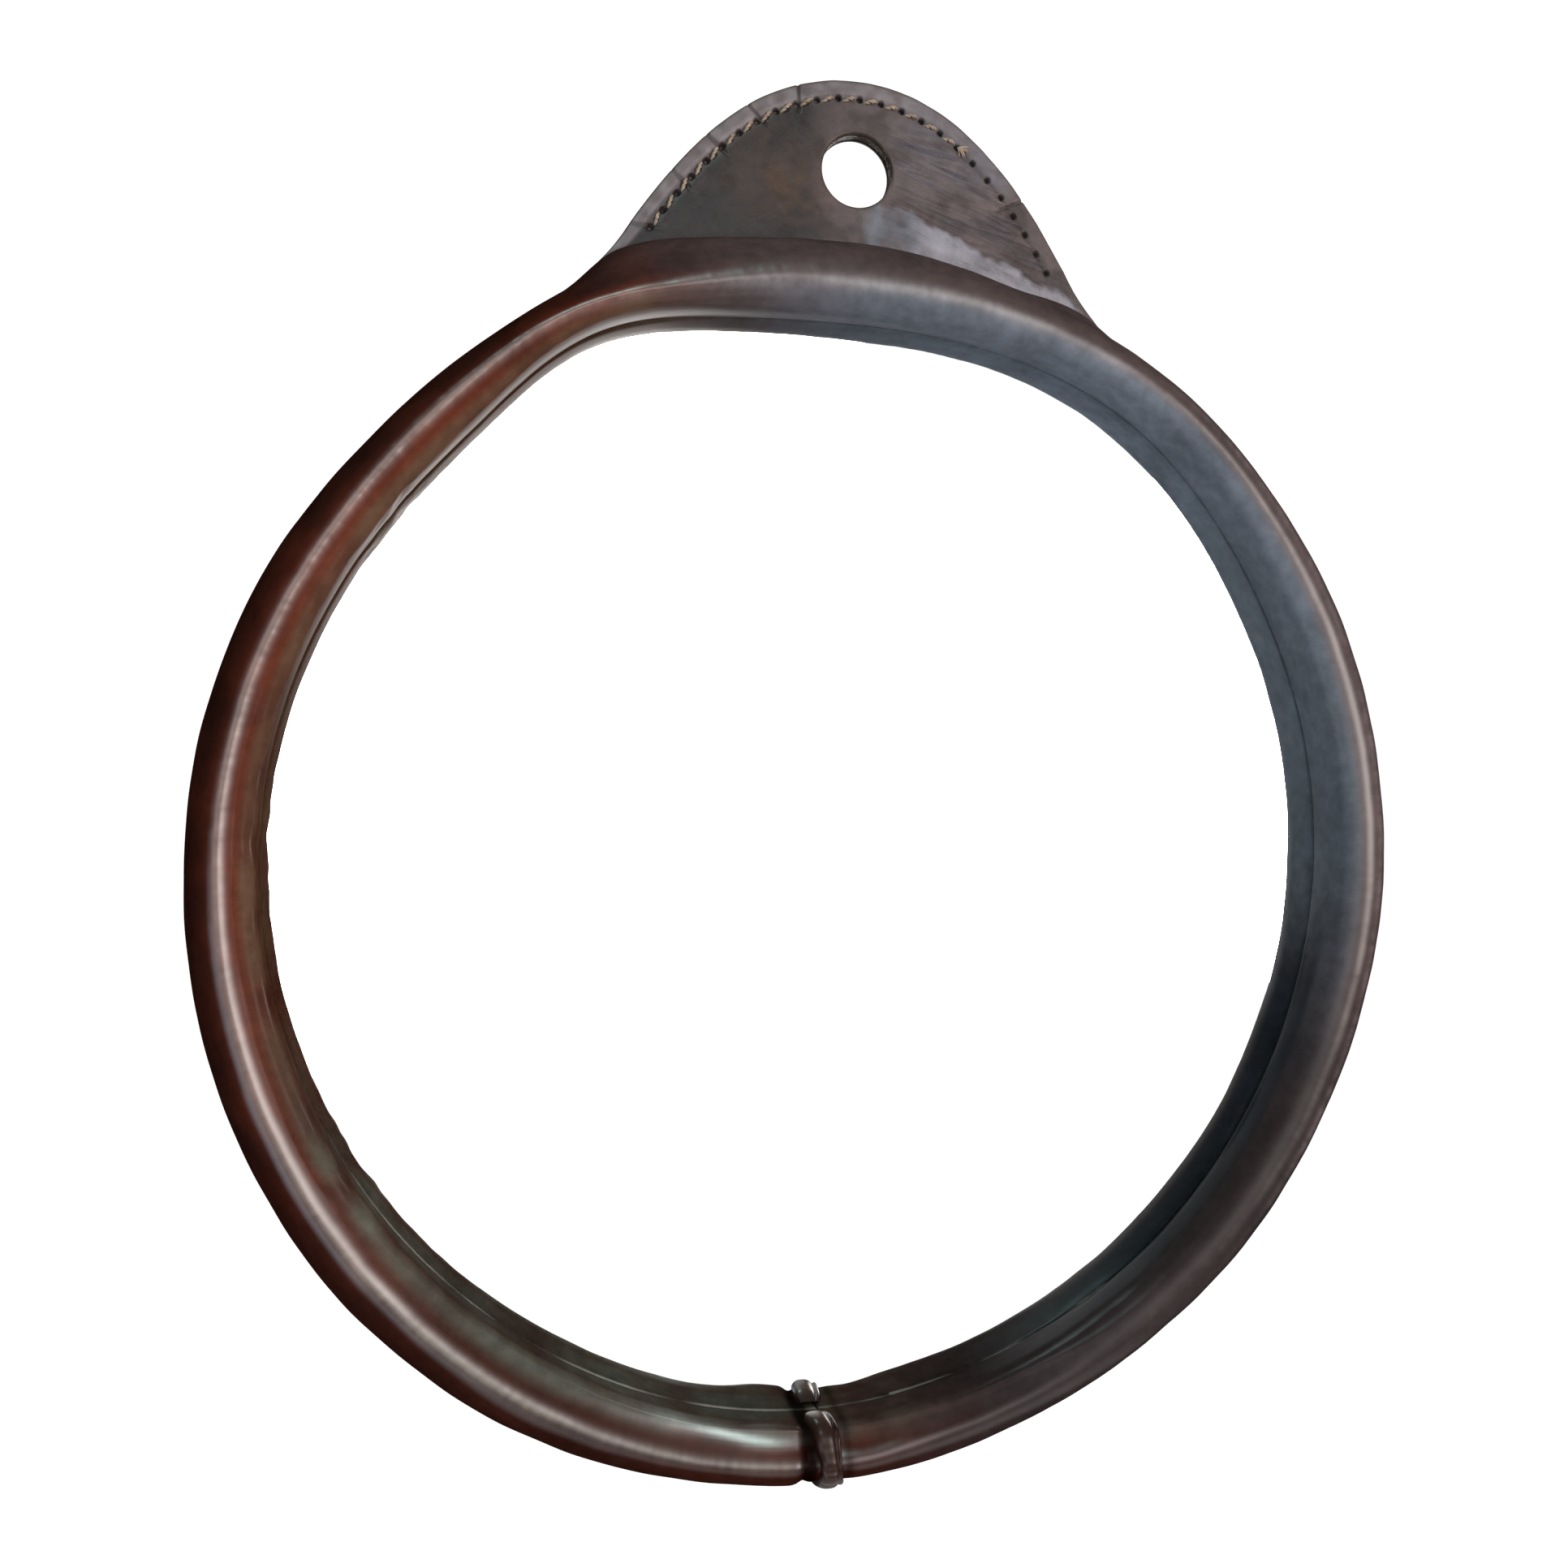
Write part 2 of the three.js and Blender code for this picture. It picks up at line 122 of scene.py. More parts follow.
def soft_noise(points, scale, seed=0.0):
    """Smooth noise from -1 to 1 at each point, with features about scale mm across."""
    shift = Vector((seed * 17.3, seed * 5.1, seed * 9.7))
    return np.array([noise.noise(Vector(p) / scale + shift) for p in points])


def laid(under, shade, amount):
    """Colours with a shade laid over them, by an amount from 0 to 1 at each point."""
    return under + (np.asarray(shade) - under) * np.clip(amount, 0, 1)[:, None]


def add_mesh(name, points, faces, material, colours=None, smooth=True):
    mesh = bpy.data.meshes.new(name)
    mesh.from_pydata([tuple(p) for p in points], [], faces)
    mesh.validate()
    mesh.polygons.foreach_set("use_smooth", [smooth] * len(mesh.polygons))
    if colours is not None:
        layer = mesh.color_attributes.new("tint", "FLOAT_COLOR", "POINT")
        rgba = np.ones((len(points), 4))
        rgba[:, : np.shape(colours)[1]] = colours
        layer.data.foreach_set("color", rgba.ravel())
    mesh.materials.append(material)
    mesh.update()
    thing = bpy.data.objects.new(name, mesh)
    scene.collection.objects.link(thing)
    return thing


def grid_faces(rows, columns, flip=False, close_rows=False, close_columns=False, start=0):
    """Faces between neighbouring rows of points."""
    faces = []
    for i in range(rows if close_rows else rows - 1):
        here = start + i * columns
        there = start + (i + 1) % rows * columns
        for k in range(columns if close_columns else columns - 1):
            m = (k + 1) % columns
            if flip:
                faces.append((here + k, here + m, there + m, there + k))
            else:
                faces.append((here + k, there + k, there + m, here + m))
    return faces


def lengths_along(line):
    return np.concatenate([[0], np.cumsum(np.linalg.norm(np.diff(line, axis=0), axis=1))])


def points_along(line, want):
    """Points at the wanted lengths along a line."""
    along = lengths_along(line)
    return np.stack([np.interp(want, along, line[:, k]) for k in range(line.shape[1])], axis=1)


def eased(line, ease):
    """The line with its bends rounded over about ease mm, and its ends kept."""
    step = 0.1
    even = points_along(line, np.arange(0, lengths_along(line)[-1], step))
    reach = int(3 * ease / step)
    weight = np.exp(-0.5 * (np.arange(-reach, reach + 1) * step / ease) ** 2)
    weight /= weight.sum()
    before = 2 * even[0] - even[reach:0:-1]
    after = 2 * even[-1] - even[-2 : -reach - 2 : -1]
    padded = np.vstack([before, even, after])
    return np.stack([np.convolve(padded[:, k], weight, "valid") for k in range(padded.shape[1])], axis=1)


def spline(points, count, ease=0.0):
    """Evenly spaced points along a smooth line through the given ones, its bends rounded over ease mm."""
    p = np.array(points, float)
    p = np.vstack([2 * p[0] - p[1], p, 2 * p[-1] - p[-2]])
    line = []
    for i in range(1, len(p) - 2):
        a, b, c, d = p[i - 1 : i + 3]
        for t in np.linspace(0, 1, 40, endpoint=False):
            curve = 2 * b + (c - a) * t + (2 * a - 5 * b + 4 * c - d) * t**2 + (3 * b - a - 3 * c + d) * t**3
            line.append(0.5 * curve)
    line.append(p[-2])
    line = np.array(line)
    if ease:
        line = eased(line, ease)
    return points_along(line, np.linspace(0, lengths_along(line)[-1], count))


def bezier(a, b, c, e, count):
    t = np.linspace(0, 1, count)[:, None]
    a, b, c, e = (np.array(p, float) for p in (a, b, c, e))
    return a * (1 - t) ** 3 + 3 * b * t * (1 - t) ** 2 + 3 * c * t**2 * (1 - t) + e * t**3


def normals(lines):
    """Unit directions to the left of a line, or of each line in a stack."""
    tangent = np.gradient(lines, axis=-2)
    tangent /= np.linalg.norm(tangent, axis=-1, keepdims=True)
    return np.stack([-tangent[..., 1], tangent[..., 0]], axis=-1)


# ---------------------------------------------------------------- the ring's shape

# centre and spread in degrees, then how far the outer and the inner edge move outwards
SWELLINGS = [
    (58, 19, 0.0, 5.5),
    (97, 20, 5.0, -0.5),
    (116, 12, 0.0, 9.5),
    (138, 12, -2.0, 0.0),
    (175, 24, 1.0, 1.5),
    (225, 28, 5.5, 0.5),
    (262, 24, 3.5, 3.0),
    (335, 40, -2.0, -3.0),
]


def radius_at(d, angle):
    """The real radius of a point d mm outwards from the leather's inner edge."""
    inner = INNER_RADIUS
    outer = OUTER_RADIUS
    for centre, spread, outer_move, inner_move in SWELLINGS:
        here = bump_at(from_angle(angle, centre), 0, spread)
        inner = inner + inner_move * here
        outer = outer + outer_move * here
    middle = inner + d / ROLL_WIDTH * (outer - inner)
    return np.where(d >= ROLL_WIDTH, outer + d - ROLL_WIDTH, middle)


# The leather's outer face as (d, h), from the tuck at the glass to the hem. On the left and at the bottom
# the inner wall has a bead below the crown, and on the right and at the top it is one plain bulge.
HEM = [
    (24.8, 0),
    (25.0, -5),
    (24.2, -9.5),
    (22.3, -12.3),
    (19.2, BACK_H),
    (12.5, BACK_H),
    (12.4, BACK_H + 1.6),
]
BEADED = [
    (1.6, 2.6),
    (1.4, 0.5),
    (0.7, 0.1),
    (-0.1, 0.5),
    (-0.6, 4),
    (-0.9, 9),
    (-0.9, 13),
    (-0.4, 17.2),
    (1.0, 19.5),
    (3.0, 20.6),
    (5.0, 20.7),
    (7.2, 22.4),
    (9.9, 23.9),
    (12.6, 23.7),
    (15.6, 22.0),
    (18.6, 18.4),
    (21.3, 13.2),
    (23.5, 7),
    *HEM,
]
PLAIN = [
    (1.6, 2.6),
    (1.3, 0.6),
    (0.5, 0.05),
    (-0.8, 0.05),
    (-1.3, 3),
    (-1.8, 9),
    (-1.9, 14),
    (-1.1, 18.3),
    (0.9, 21.2),
    (3.6, 22.9),
    (6.4, 23.8),
    (9.2, 23.9),
    (12.0, 23.2),
    (14.6, 21.9),
    (17.2, 19.6),
    (19.5, 16.5),
    (21.6, 12.4),
    (23.5, 7),
    *HEM,
]


# ---------------------------------------------------------------- materials


def new_material(name, roughness, metallic=0.0, coat=0.0, coat_roughness=0.2, specular=0.5):
    material = bpy.data.materials.new(name)
    material.use_nodes = True
    nodes = material.node_tree.nodes
    shader = nodes["Principled BSDF"]
    shader.inputs["Roughness"].default_value = roughness
    shader.inputs["Metallic"].default_value = metallic
    shader.inputs["Coat Weight"].default_value = coat
    shader.inputs["Coat Roughness"].default_value = coat_roughness
    shader.inputs["Specular IOR Level"].default_value = specular
    return material, nodes, material.node_tree.links, shader


def coordinates(nodes, links, scale=(1, 1, 1)):
    coord = nodes.new("ShaderNodeTexCoord")
    mapping = nodes.new("ShaderNodeMapping")
    mapping.inputs["Scale"].default_value = scale
    links.new(coord.outputs["Object"], mapping.inputs["Vector"])
    return mapping.outputs["Vector"]


def noise_node(nodes, links, vector, scale, detail=4.0, roughness=0.55, distortion=0.0):
    node = nodes.new("ShaderNodeTexNoise")
    node.inputs["Scale"].default_value = scale
    node.inputs["Detail"].default_value = detail
    node.inputs["Roughness"].default_value = roughness
    node.inputs["Distortion"].default_value = distortion
    links.new(vector, node.inputs["Vector"])
    return node.outputs["Fac"]


def math_node(nodes, links, operation, a, b):
    """A Math node, whose inputs are sockets or numbers."""
    node = nodes.new("ShaderNodeMath")
    node.operation = operation
    for target, value in zip(node.inputs, (a, b)):
        if isinstance(value, (int, float)):
            target.default_value = value
        else:
            links.new(value, target)
    return node.outputs[0]


def ramp(nodes, links, fac, stops):
    node = nodes.new("ShaderNodeValToRGB")
    while len(node.color_ramp.elements) < len(stops):
        node.color_ramp.elements.new(0.5)
    for element, (position, colour) in zip(node.color_ramp.elements, stops):
        element.position = position
        element.color = (*colour, 1)
    links.new(fac, node.inputs["Fac"])
    return node.outputs["Color"]


def grey_ramp(nodes, links, fac, low, high):
    """Stops are (position, shade of grey)."""
    return ramp(nodes, links, fac, [(position, (shade,) * 3) for position, shade in (low, high)])


def mix(nodes, links, mode, fac, a, b):
    """A Mix node for colours, whose inputs are sockets, numbers or colours."""
    node = nodes.new("ShaderNodeMix")
    node.data_type = "RGBA"
    node.blend_type = mode
    for socket, value in (("Factor", fac), ("A", a), ("B", b)):
        target = [s for s in node.inputs if s.name == socket and s.enabled][0]
        if isinstance(value, (int, float)):
            target.default_value = value
        elif isinstance(value, tuple):
            target.default_value = (*value, 1)
        else:
            links.new(value, target)
    return [s for s in node.outputs if s.enabled][0]


def add_bump(nodes, links, shader, layers):
    """Layers are (height, strength, distance in metres), the deepest one first."""
    normal = None
    for height, strength, distance in layers:
        node = nodes.new("ShaderNodeBump")
        node.inputs["Strength"].default_value = strength
        node.inputs["Distance"].default_value = distance
        links.new(height, node.inputs["Height"])
        if normal is not None:
            links.new(normal, node.inputs["Normal"])
        normal = node.outputs["Normal"]
    links.new(normal, shader.inputs["Normal"])


DULL_ROUGHNESS = 0.78


def leather(name, roughness, coat, coat_roughness, grain, blotch, spread, specular=0.5, coat_ior=1.5):
    """Dyed leather tinted by the mesh's own colours: blotches, fine pores and a waxed surface.

    The colours' alpha says how much of the wax is left, from 0, dull, to 1.
    """
    material, nodes, links, shader = new_material(name, roughness, 0, coat, coat_roughness, specular)
    shader.inputs["Coat IOR"].default_value = coat_ior
    vector = coordinates(nodes, links)
    tint = nodes.new("ShaderNodeVertexColor")
    tint.layer_name = "tint"
    wide = noise_node(nodes, links, vector, 26, 5, 0.6, 0.6)
    fine = noise_node(nodes, links, vector, 170, 4, 0.6)
    shade = grey_ramp(nodes, links, wide, (0.3, 1 - blotch), (0.7, 1 + blotch))
    speckle = grey_ramp(nodes, links, fine, (0.35, 0.86), (0.65, 1.12))
    colour = mix(nodes, links, "MULTIPLY", 1.0, tint.outputs["Color"], shade)
    colour = mix(nodes, links, "MULTIPLY", 1.0, colour, speckle)
    links.new(colour, shader.inputs["Base Color"])
    gloss = grey_ramp(nodes, links, wide, (0.25, roughness - spread), (0.75, roughness + spread))
    dull = (DULL_ROUGHNESS,) * 3
    links.new(mix(nodes, links, "MIX", tint.outputs["Alpha"], dull, gloss), shader.inputs["Roughness"])
    wax = math_node(nodes, links, "MULTIPLY", tint.outputs["Alpha"], coat)
    links.new(wax, shader.inputs["Coat Weight"])
    pores = nodes.new("ShaderNodeTexVoronoi")
    pores.inputs["Scale"].default_value = 900
    links.new(vector, pores.inputs["Vector"])
    creases = noise_node(nodes, links, vector, 420, 3, 0.65, 1.2)
    add_bump(nodes, links, shader, [
        (creases, grain, 0.0004),
        (pores.outputs["Distance"], grain * 0.6, 0.0002),
        (wide, grain * 0.5, 0.0015),
    ])
    return material


def plain(name, dark, light, roughness, scale, stretch=(1, 1, 1), metallic=0.0):
    """A material of two shades in one noise pattern, which is also its bump."""
    material, nodes, links, shader = new_material(name, roughness, metallic)
    vector = coordinates(nodes, links, stretch)
    pattern = noise_node(nodes, links, vector, scale, 6, 0.6, 0.4)
    links.new(ramp(nodes, links, pattern, [(0.3, dark), (0.7, light)]), shader.inputs["Base Color"])
    add_bump(nodes, links, shader, [(pattern, 0.3, 0.0004)])
    return material


def silvered():
    material, nodes, links, shader = new_material("mirror_silver", 0.0, 1.0)
    faint = noise_node(nodes, links, coordinates(nodes, links), 7, 2)
    silver = ramp(nodes, links, faint, [(0.2, (0.93, 0.945, 0.94)), (0.8, (0.955, 0.965, 0.96))])
    links.new(silver, shader.inputs["Base Color"])
    return material


roll_material = leather("roll_leather", 0.5, 0.95, 0.35, 0.18, 0.22, 0.07, specular=0.0, coat_ior=1.65)
tab_material = leather("tab_leather", 0.52, 0.10, 0.35, 0.5, 0.2, 0.1, specular=0.2)
back_material = leather("back_leather", 0.72, 0.0, 0.5, 0.5, 0.25, 0.08)
thread_material = plain("thread", (0.13, 0.085, 0.06), (0.36, 0.27, 0.20), 0.8, 420)
steel_material = plain("tack_steel", (0.02, 0.018, 0.016), (0.09, 0.08, 0.07), 0.45, 260, metallic=1.0)
wood_material = plain("hoop_wood", (0.24, 0.14, 0.07), (0.45, 0.29, 0.15), 0.7, 20, (1, 1, 12))
edge_material = plain("burnished_edge", (0.018, 0.010, 0.007), (0.06, 0.032, 0.020), 0.42, 160, (1, 6, 1))
card_material = plain("card", (0.20, 0.15, 0.09), (0.30, 0.23, 0.15), 0.9, 90)
rope_material = plain("rope", (0.25, 0.18, 0.09), (0.42, 0.33, 0.19), 0.9, 300)
wadding_material = plain("wadding", (0.45, 0.39, 0.28), (0.6, 0.54, 0.42), 1.0, 160)
felt_material = plain("felt", (0.11, 0.10, 0.085), (0.2, 0.185, 0.16), 1.0, 500)
screw_material = plain("screw_steel", (0.3, 0.29, 0.28), (0.5, 0.49, 0.47), 0.35, 300, metallic=1.0)

# ---------------------------------------------------------------- the roll's shape

AROUND = 1400
ACROSS = 110
JOINT_GAP = 0.16  # degrees from the joint's middle to each end of the leather

# one section for each angle, and for each of its points the direction out of the leather
angles = (JOINT + np.linspace(JOINT_GAP, 360 - JOINT_GAP, AROUND)) % 360
beaded_there = smoothstep(86, 106, angles) * smoothstep(285, 271, angles)
beaded_section = spline(BEADED, ACROSS, 0.8)
plain_section = spline(PLAIN, ACROSS, 0.35)
section = plain_section + (beaded_section - plain_section) * beaded_there[:, None, None]
push = normals(section).reshape(-1, 2)
d, h = section.reshape(-1, 2).T
angle = np.repeat(angles, ACROSS)
from_joint = from_angle(angle, JOINT)
from_top = np.abs(from_angle(angle, 90))
from_right = from_angle(angle, 0)


def around(centre, width):
    """1 at an angle, fading out over width degrees each way."""
    return bump_at(from_angle(angle, centre), 0, width)


def leaning(d, h, lean):
    """How far inwards a point of the section goes where the crown leans."""
    return lean * np.sin(math.pi * np.clip(d / ROLL_WIDTH, 0, 1)) * smoothstep(6, 18, h)


# the crown leans inwards in places
lean_in = 5.8 * around(111, 11) + 0.9 * around(150, 9) + 1.8 * around(88, 14) - 1.0 * around(0, 40)
d = d - leaning(d, h, lean_in)

# towards the joint the bead lies lower down the wall
lower = smoothstep(205, 238, angle) * smoothstep(305, 287, angle)
lower = lower * bump_at(d, 2.6, 2.8) * smoothstep(8, 14, h)
d = d - 1.7 * lower
h = h - 2.9 * lower

# the unevenness of stuffed leather, which also breaks up its colours
in_space = np.column_stack([*turned(radius_at(d, angle), angle), h])
unrolled = np.column_stack([np.radians(angle) * INNER_RADIUS, d, h])
slow = soft_noise(in_space * (1, 1, 0.4), 55, 1)
lumps = soft_noise(in_space * (1, 1, 0.7), 17, 2)
wrinkle = soft_noise(in_space, 6.0, 3)
crinkle = soft_noise(unrolled * (1, 0.22, 0.22), 2.3, 11)
cockle = soft_noise(unrolled * (1, 0.35, 0.35), 6.5, 12)

free = smoothstep(0.8, 4, h) * smoothstep(BACK_H, BACK_H + 6, h)
inner_wall = smoothstep(6, 1.5, d) * smoothstep(0.6, 5, h)
top_side = smoothstep(12, 20, h)
worked = 0.35 + 0.65 * np.clip(bump_at(from_top, 4, 26) + around(150, 30), 0, 1)
lift = free * (0.5 * slow + 0.26 * lumps)
lift += free * top_side * worked * (0.09 * crinkle + 0.16 * cockle)
left_wrinkles = bump_at(angle, 181, 9) + 0.7 * bump_at(angle, 214, 12) + 0.7 * bump_at(angle, 143, 7)
lift += inner_wall * left_wrinkles * (0.55 * wrinkle + 0.5 * lumps)
# by the joint the ends of the leather are drawn in, and the left one is stuffed fuller just before it
lift -= (1.2 * bump_at(from_joint, 0, 1.6) + 1.5 * bump_at(from_joint, -2.25, 0.6)) * free
lift += 1.6 * bump_at(from_joint, -5.6, 3.6) * bump_at(h, 17.5, 3.6) * smoothstep(7, 3, d)
lift -= 0.9 * bump_at(from_joint, 4.2, 3.0) * smoothstep(9, 2, d) * smoothstep(4, 12, h)
d = d + push[:, 0] * lift
h = h + push[:, 1] * lift

# at the tab the leather spreads outwards on to the tab's feet
on_left_foot = angle > 90
foot_centre = np.where(on_left_foot, 21.5, 22.5)
foot_spread = np.where(from_top < foot_centre, np.where(on_left_foot, 9.0, 6.5), 4.8)
foot_reach = np.where(on_left_foot, 8.3, 6.5)
on_flank = smoothstep(17, -3.5, h) * smoothstep(15, 24, d)
d = d + foot_reach * bump_at(from_top, foot_centre, foot_spread) * on_flank
# beside the joint the roll steps in from the band's outer end
d = d - 1.6 * smoothstep(1.0, 2.2, from_joint) * bump_at(from_joint, 2.2, 3.2) * smoothstep(17, 24, d)

# ---------------------------------------------------------------- the roll's colours

DARK = np.array((0.020, 0.0062, 0.0045))
RED = (0.082, 0.016, 0.0078)
BROWN = np.array((0.082, 0.048, 0.030))
OLIVE_WEAR_AND_SHEEN = np.array((0.074, 0.077, 0.063))
SHADED = (0.022, 0.0175, 0.0185)
PAINTED_LIGHT_MAUVE = (0.060, 0.043, 0.043)
PAINTED_BLUE_REFLECTION = np.array((0.105, 0.122, 0.150))
# pale streaks along the crown, partly wear and partly painted highlight
WEAR_AND_HIGHLIGHT_RED = np.array((0.17, 0.105, 0.088))
WEAR_AND_HIGHLIGHT_OLIVE = (0.13, 0.115, 0.093)
WEAR_AND_HIGHLIGHT_GREY = (0.20, 0.182, 0.188)
WEAR_AND_HIGHLIGHT_PURPLE = (0.15, 0.125, 0.125)
PAINTED_CYAN_HIGHLIGHT = (0.42, 0.50, 0.48)
PAINTED_SHADE_NAVY = (0.008, 0.010, 0.014)
RAW_EDGE = (0.30, 0.28, 0.25)

upright_d = d + 0.9 * lean_in  # as if the crown didn't lean
lower_right = smoothstep(268, 292, angle) * smoothstep(356, 338, angle)
# painted shade where the ends of the leather are drawn in at the joint; it also takes the wax off there
painted_joint_shade = np.clip(1.3 * bump_at(from_joint, -2.0, 1.05) + 0.6 * bump_at(from_joint, 1.9, 0.5), 0, 1)


def base_colours():
    """Red-brown on the left, with a rubbed bead and wall whose olive patches are partly a painted sheen,
    painted shade low on the right, painted mauve light on the right and top, and a painted blue reflection
    inside on the right.
    """
    left_side = smoothstep(88, 118, angle) * smoothstep(292, 255, angle)
    redness = bump_at(d, 5.0, 5.2) * (0.75 + 0.5 * slow) + 0.16 + 0.25 * lumps
    reddish = np.clip(redness, 0, 1) * (0.12 + 0.88 * left_side) * (1 - 0.8 * around(242, 32))
    tint = laid(DARK, RED, reddish)
    tint = laid(tint, SHADED, 0.8 * lower_right)
    # painted light: a paler mauve on the right and the top, where the light falls on them
    tint = laid(tint, PAINTED_LIGHT_MAUVE, 0.8 * smoothstep(-22, 10, from_right) * smoothstep(120, 98, from_right))
    # the bead and the wall are rubbed brown, turning olive towards the bottom, where the olive is also a
    # painted sheen
    rubbed = laid(OLIVE_WEAR_AND_SHEEN, BROWN, smoothstep(225, 185, angle))
    bead = bump_at(d, 0.6, 3.4) * smoothstep(9, 15, h)
    on_bead = np.clip(bead * left_side * (0.75 + 0.9 * lumps + 0.5 * slow), 0, 1)
    tint = laid(tint, rubbed, 0.85 * on_bead)
    wall = smoothstep(3, 0, d) * smoothstep(14, 8, h) * left_side
    tint = laid(tint, rubbed * 0.6, wall * (0.7 + 0.6 * lumps))
    # painted reflection: a blue-grey window light on the inner slope on the right, brightest towards the
    # upper right
    cove = smoothstep(8, 3, d) * smoothstep(-28, 8, from_right) * smoothstep(112, 84, from_right)
    painted_reflection = PAINTED_BLUE_REFLECTION * (0.62 + 0.5 * around(58, 34))[:, None]
    return laid(tint, painted_reflection, 0.85 * cove)


def wear_and_highlight(tint):
    """Pale streaks along the crown, partly wear and partly painted highlight: greyer at the top and towards
    the bottom.
    """
    streaky = 0.75 + 0.6 * crinkle + 0.5 * lumps
    on_left = bump_at(upright_d, 9.3, 1.5) * smoothstep(102, 116, angle) * smoothstep(272, 262, angle)
    shade = laid(WEAR_AND_HIGHLIGHT_RED, WEAR_AND_HIGHLIGHT_OLIVE, smoothstep(190, 230, angle))
    tint = laid(tint, shade, 0.55 * on_left * streaky)
    on_top = smoothstep(50, 70, angle) * smoothstep(112, 98, angle)
    on_top = on_top * bump_at(d, 5.8, 2.3) * smoothstep(18, 21, h)
    tint = laid(tint, WEAR_AND_HIGHLIGHT_GREY, 0.65 * on_top * (0.8 + 0.25 * crinkle + 0.6 * lumps))
    on_right = smoothstep(-50, -20, from_right) * smoothstep(60, 50, from_right)
    on_right = on_right * bump_at(upright_d, 13.5, 2.0)
    return laid(tint, WEAR_AND_HIGHLIGHT_PURPLE, 0.4 * on_right * streaky * smoothstep(17, 20, h))


def near_joint(tint):
    """A painted pale cyan highlight left of the joint, the raw edge at the glass, painted navy shade low on
    the wall on the right, and painted shade where the leather is drawn in.
    """
    # painted highlight: a pale cyan streak on the bead left of the joint
    cyan_highlight = around(260, 5.5) * bump_at(d, 2.2 - 0.2 * (264 - angle), 1.2) * smoothstep(10, 13, h)
    tint = laid(tint, PAINTED_CYAN_HIGHLIGHT, (0.85 + 0.4 * lumps) * cyan_highlight)
    # painted shade: the low inner wall on the lower right is near-black navy
    wall = smoothstep(288, 306, angle) * smoothstep(358, 345, angle)
    wall = wall * smoothstep(3, 0, d) * smoothstep(15, 10, h)
    tint = laid(tint, PAINTED_SHADE_NAVY, 0.85 * wall)
    edge = (h < 0.62) & (d < 1.2) & (h > -2)
    bare = edge * smoothstep(200, 222, angle) * smoothstep(312, 300, angle)
    tint = laid(tint, RAW_EDGE, bare * np.clip(0.6 + 1.4 * lumps, 0.1, 1))
    return tint * (1 - 0.88 * painted_joint_shade)[:, None]


def wax_left():
    """Wax is rubbed off the outer flank, most of the left's valley and bead, and the wall at the glass."""
    on_right = smoothstep(-75, -45, from_right) * smoothstep(118, 96, from_right)
    flank_from = 10.2 + 4.0 * on_right
    wax = 1 - smoothstep(0, 3.2, upright_d - flank_from) * smoothstep(24.6, 23.2, h)
    valley = smoothstep(8.2, 5.2, upright_d) * smoothstep(11, 15, h) * (1 - on_right)
    kept_in_valley = np.clip(0.03 + 0.85 * around(257, 8) - 0.1 * lumps, 0, 1)
    wax = wax * (1 - valley * (1 - kept_in_valley))
    wax = wax * (1 - 0.75 * smoothstep(6, 2, d) * on_right)
    wall = smoothstep(3, 0.6, d) * smoothstep(17.5, 15, h) * (1 - on_right)
    kept_on_wall = np.clip(around(108, 14) + 0.45 * around(140, 18), 0, 1) * smoothstep(2, 5, h)
    wax = wax * (1 - wall) + wall * kept_on_wall
    wax = wax * (1 - 0.45 * on_right) * (1 - 0.4 * lower_right) * (1 - 0.97 * painted_joint_shade)
    return np.clip(wax, 0, 1)


# ---------------------------------------------------------------- the roll and its stuffing


def add_roll():
    points = rows_of_places(*turned(radius_at(d, angle), angle), h)
    # behind the tab's face there is no leather: the tab comes out of the roll there
    covered = (from_top < 33) & (h < TAB_FRONT_H + 0.15)
    outer_part = section[:, :, 0].ravel() > 17
    faces = []
    for face in grid_faces(AROUND, ACROSS, flip=True):
        if not (covered[face[0]] and covered[face[2]] and outer_part[face[0]]):
            faces.append(face)
    colours = np.column_stack([near_joint(wear_and_highlight(base_colours())), wax_left()])
    return add_mesh("roll_leather", points, faces, roll_material, colours)


roll_piece = add_roll()
thick = roll_piece.modifiers.new("thickness", "SOLIDIFY")
thick.thickness = 0.0009
thick.offset = -1
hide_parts("roll_cover")
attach(roll_piece, "root")

WADDING_GAP = 1.3
HOOP_TOP = 9.3
SKIPPED = 4  # the wadding has one section where the leather has this many
OVER_ROPE = [(16.7, 13.9), (15.1, 17.7), (11.3, 19.3), (7.5, 17.7), (5.9, 13.9)]
UNDERSIDE = np.array([(18.6, HOOP_TOP), (16.7, HOOP_TOP), *OVER_ROPE, (5.9, HOOP_TOP), (1.7, HOOP_TOP)])


def add_wadding():
    """The wadding under the leather: it lies on the hoop and round the rope, and stops short of the joint."""
    rows = slice(3 * SKIPPED, AROUND - 3 * SKIPPED, SKIPPED)
    upper = (section[0, :, 1] > HOOP_TOP + 1) & (section[0, :, 0] < 21)
    upper_d = (d - push[:, 0] * WADDING_GAP).reshape(AROUND, ACROSS)[rows][:, upper]
    upper_h = (h - push[:, 1] * WADDING_GAP).reshape(AROUND, ACROSS)[rows][:, upper]
    lean = lean_in.reshape(AROUND, ACROSS)[rows][:, :1]
    under_d = UNDERSIDE[:, 0] - leaning(UNDERSIDE[:, 0], UNDERSIDE[:, 1], lean)
    under_h = np.tile(UNDERSIDE[:, 1], (len(upper_d), 1))
    all_d = np.hstack([upper_d, under_d])
    all_h = np.hstack([upper_h, under_h])
    loops, sides = all_d.shape
    turns = np.repeat(angles[rows], sides)
    points = rows_of_places(*turned(radius_at(all_d.ravel(), turns), turns), all_h.ravel())
    faces = grid_faces(loops, sides, flip=True, close_columns=True)
    faces.append(tuple(reversed(range(sides))))
    faces.append(tuple((loops - 1) * sides + k for k in range(sides)))
    return add_mesh("roll_wadding_fibre", points, faces, wadding_material)


wadding = add_wadding()
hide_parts("roll_wadding")
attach(wadding, "root")

# ---------------------------------------------------------------- the joint band


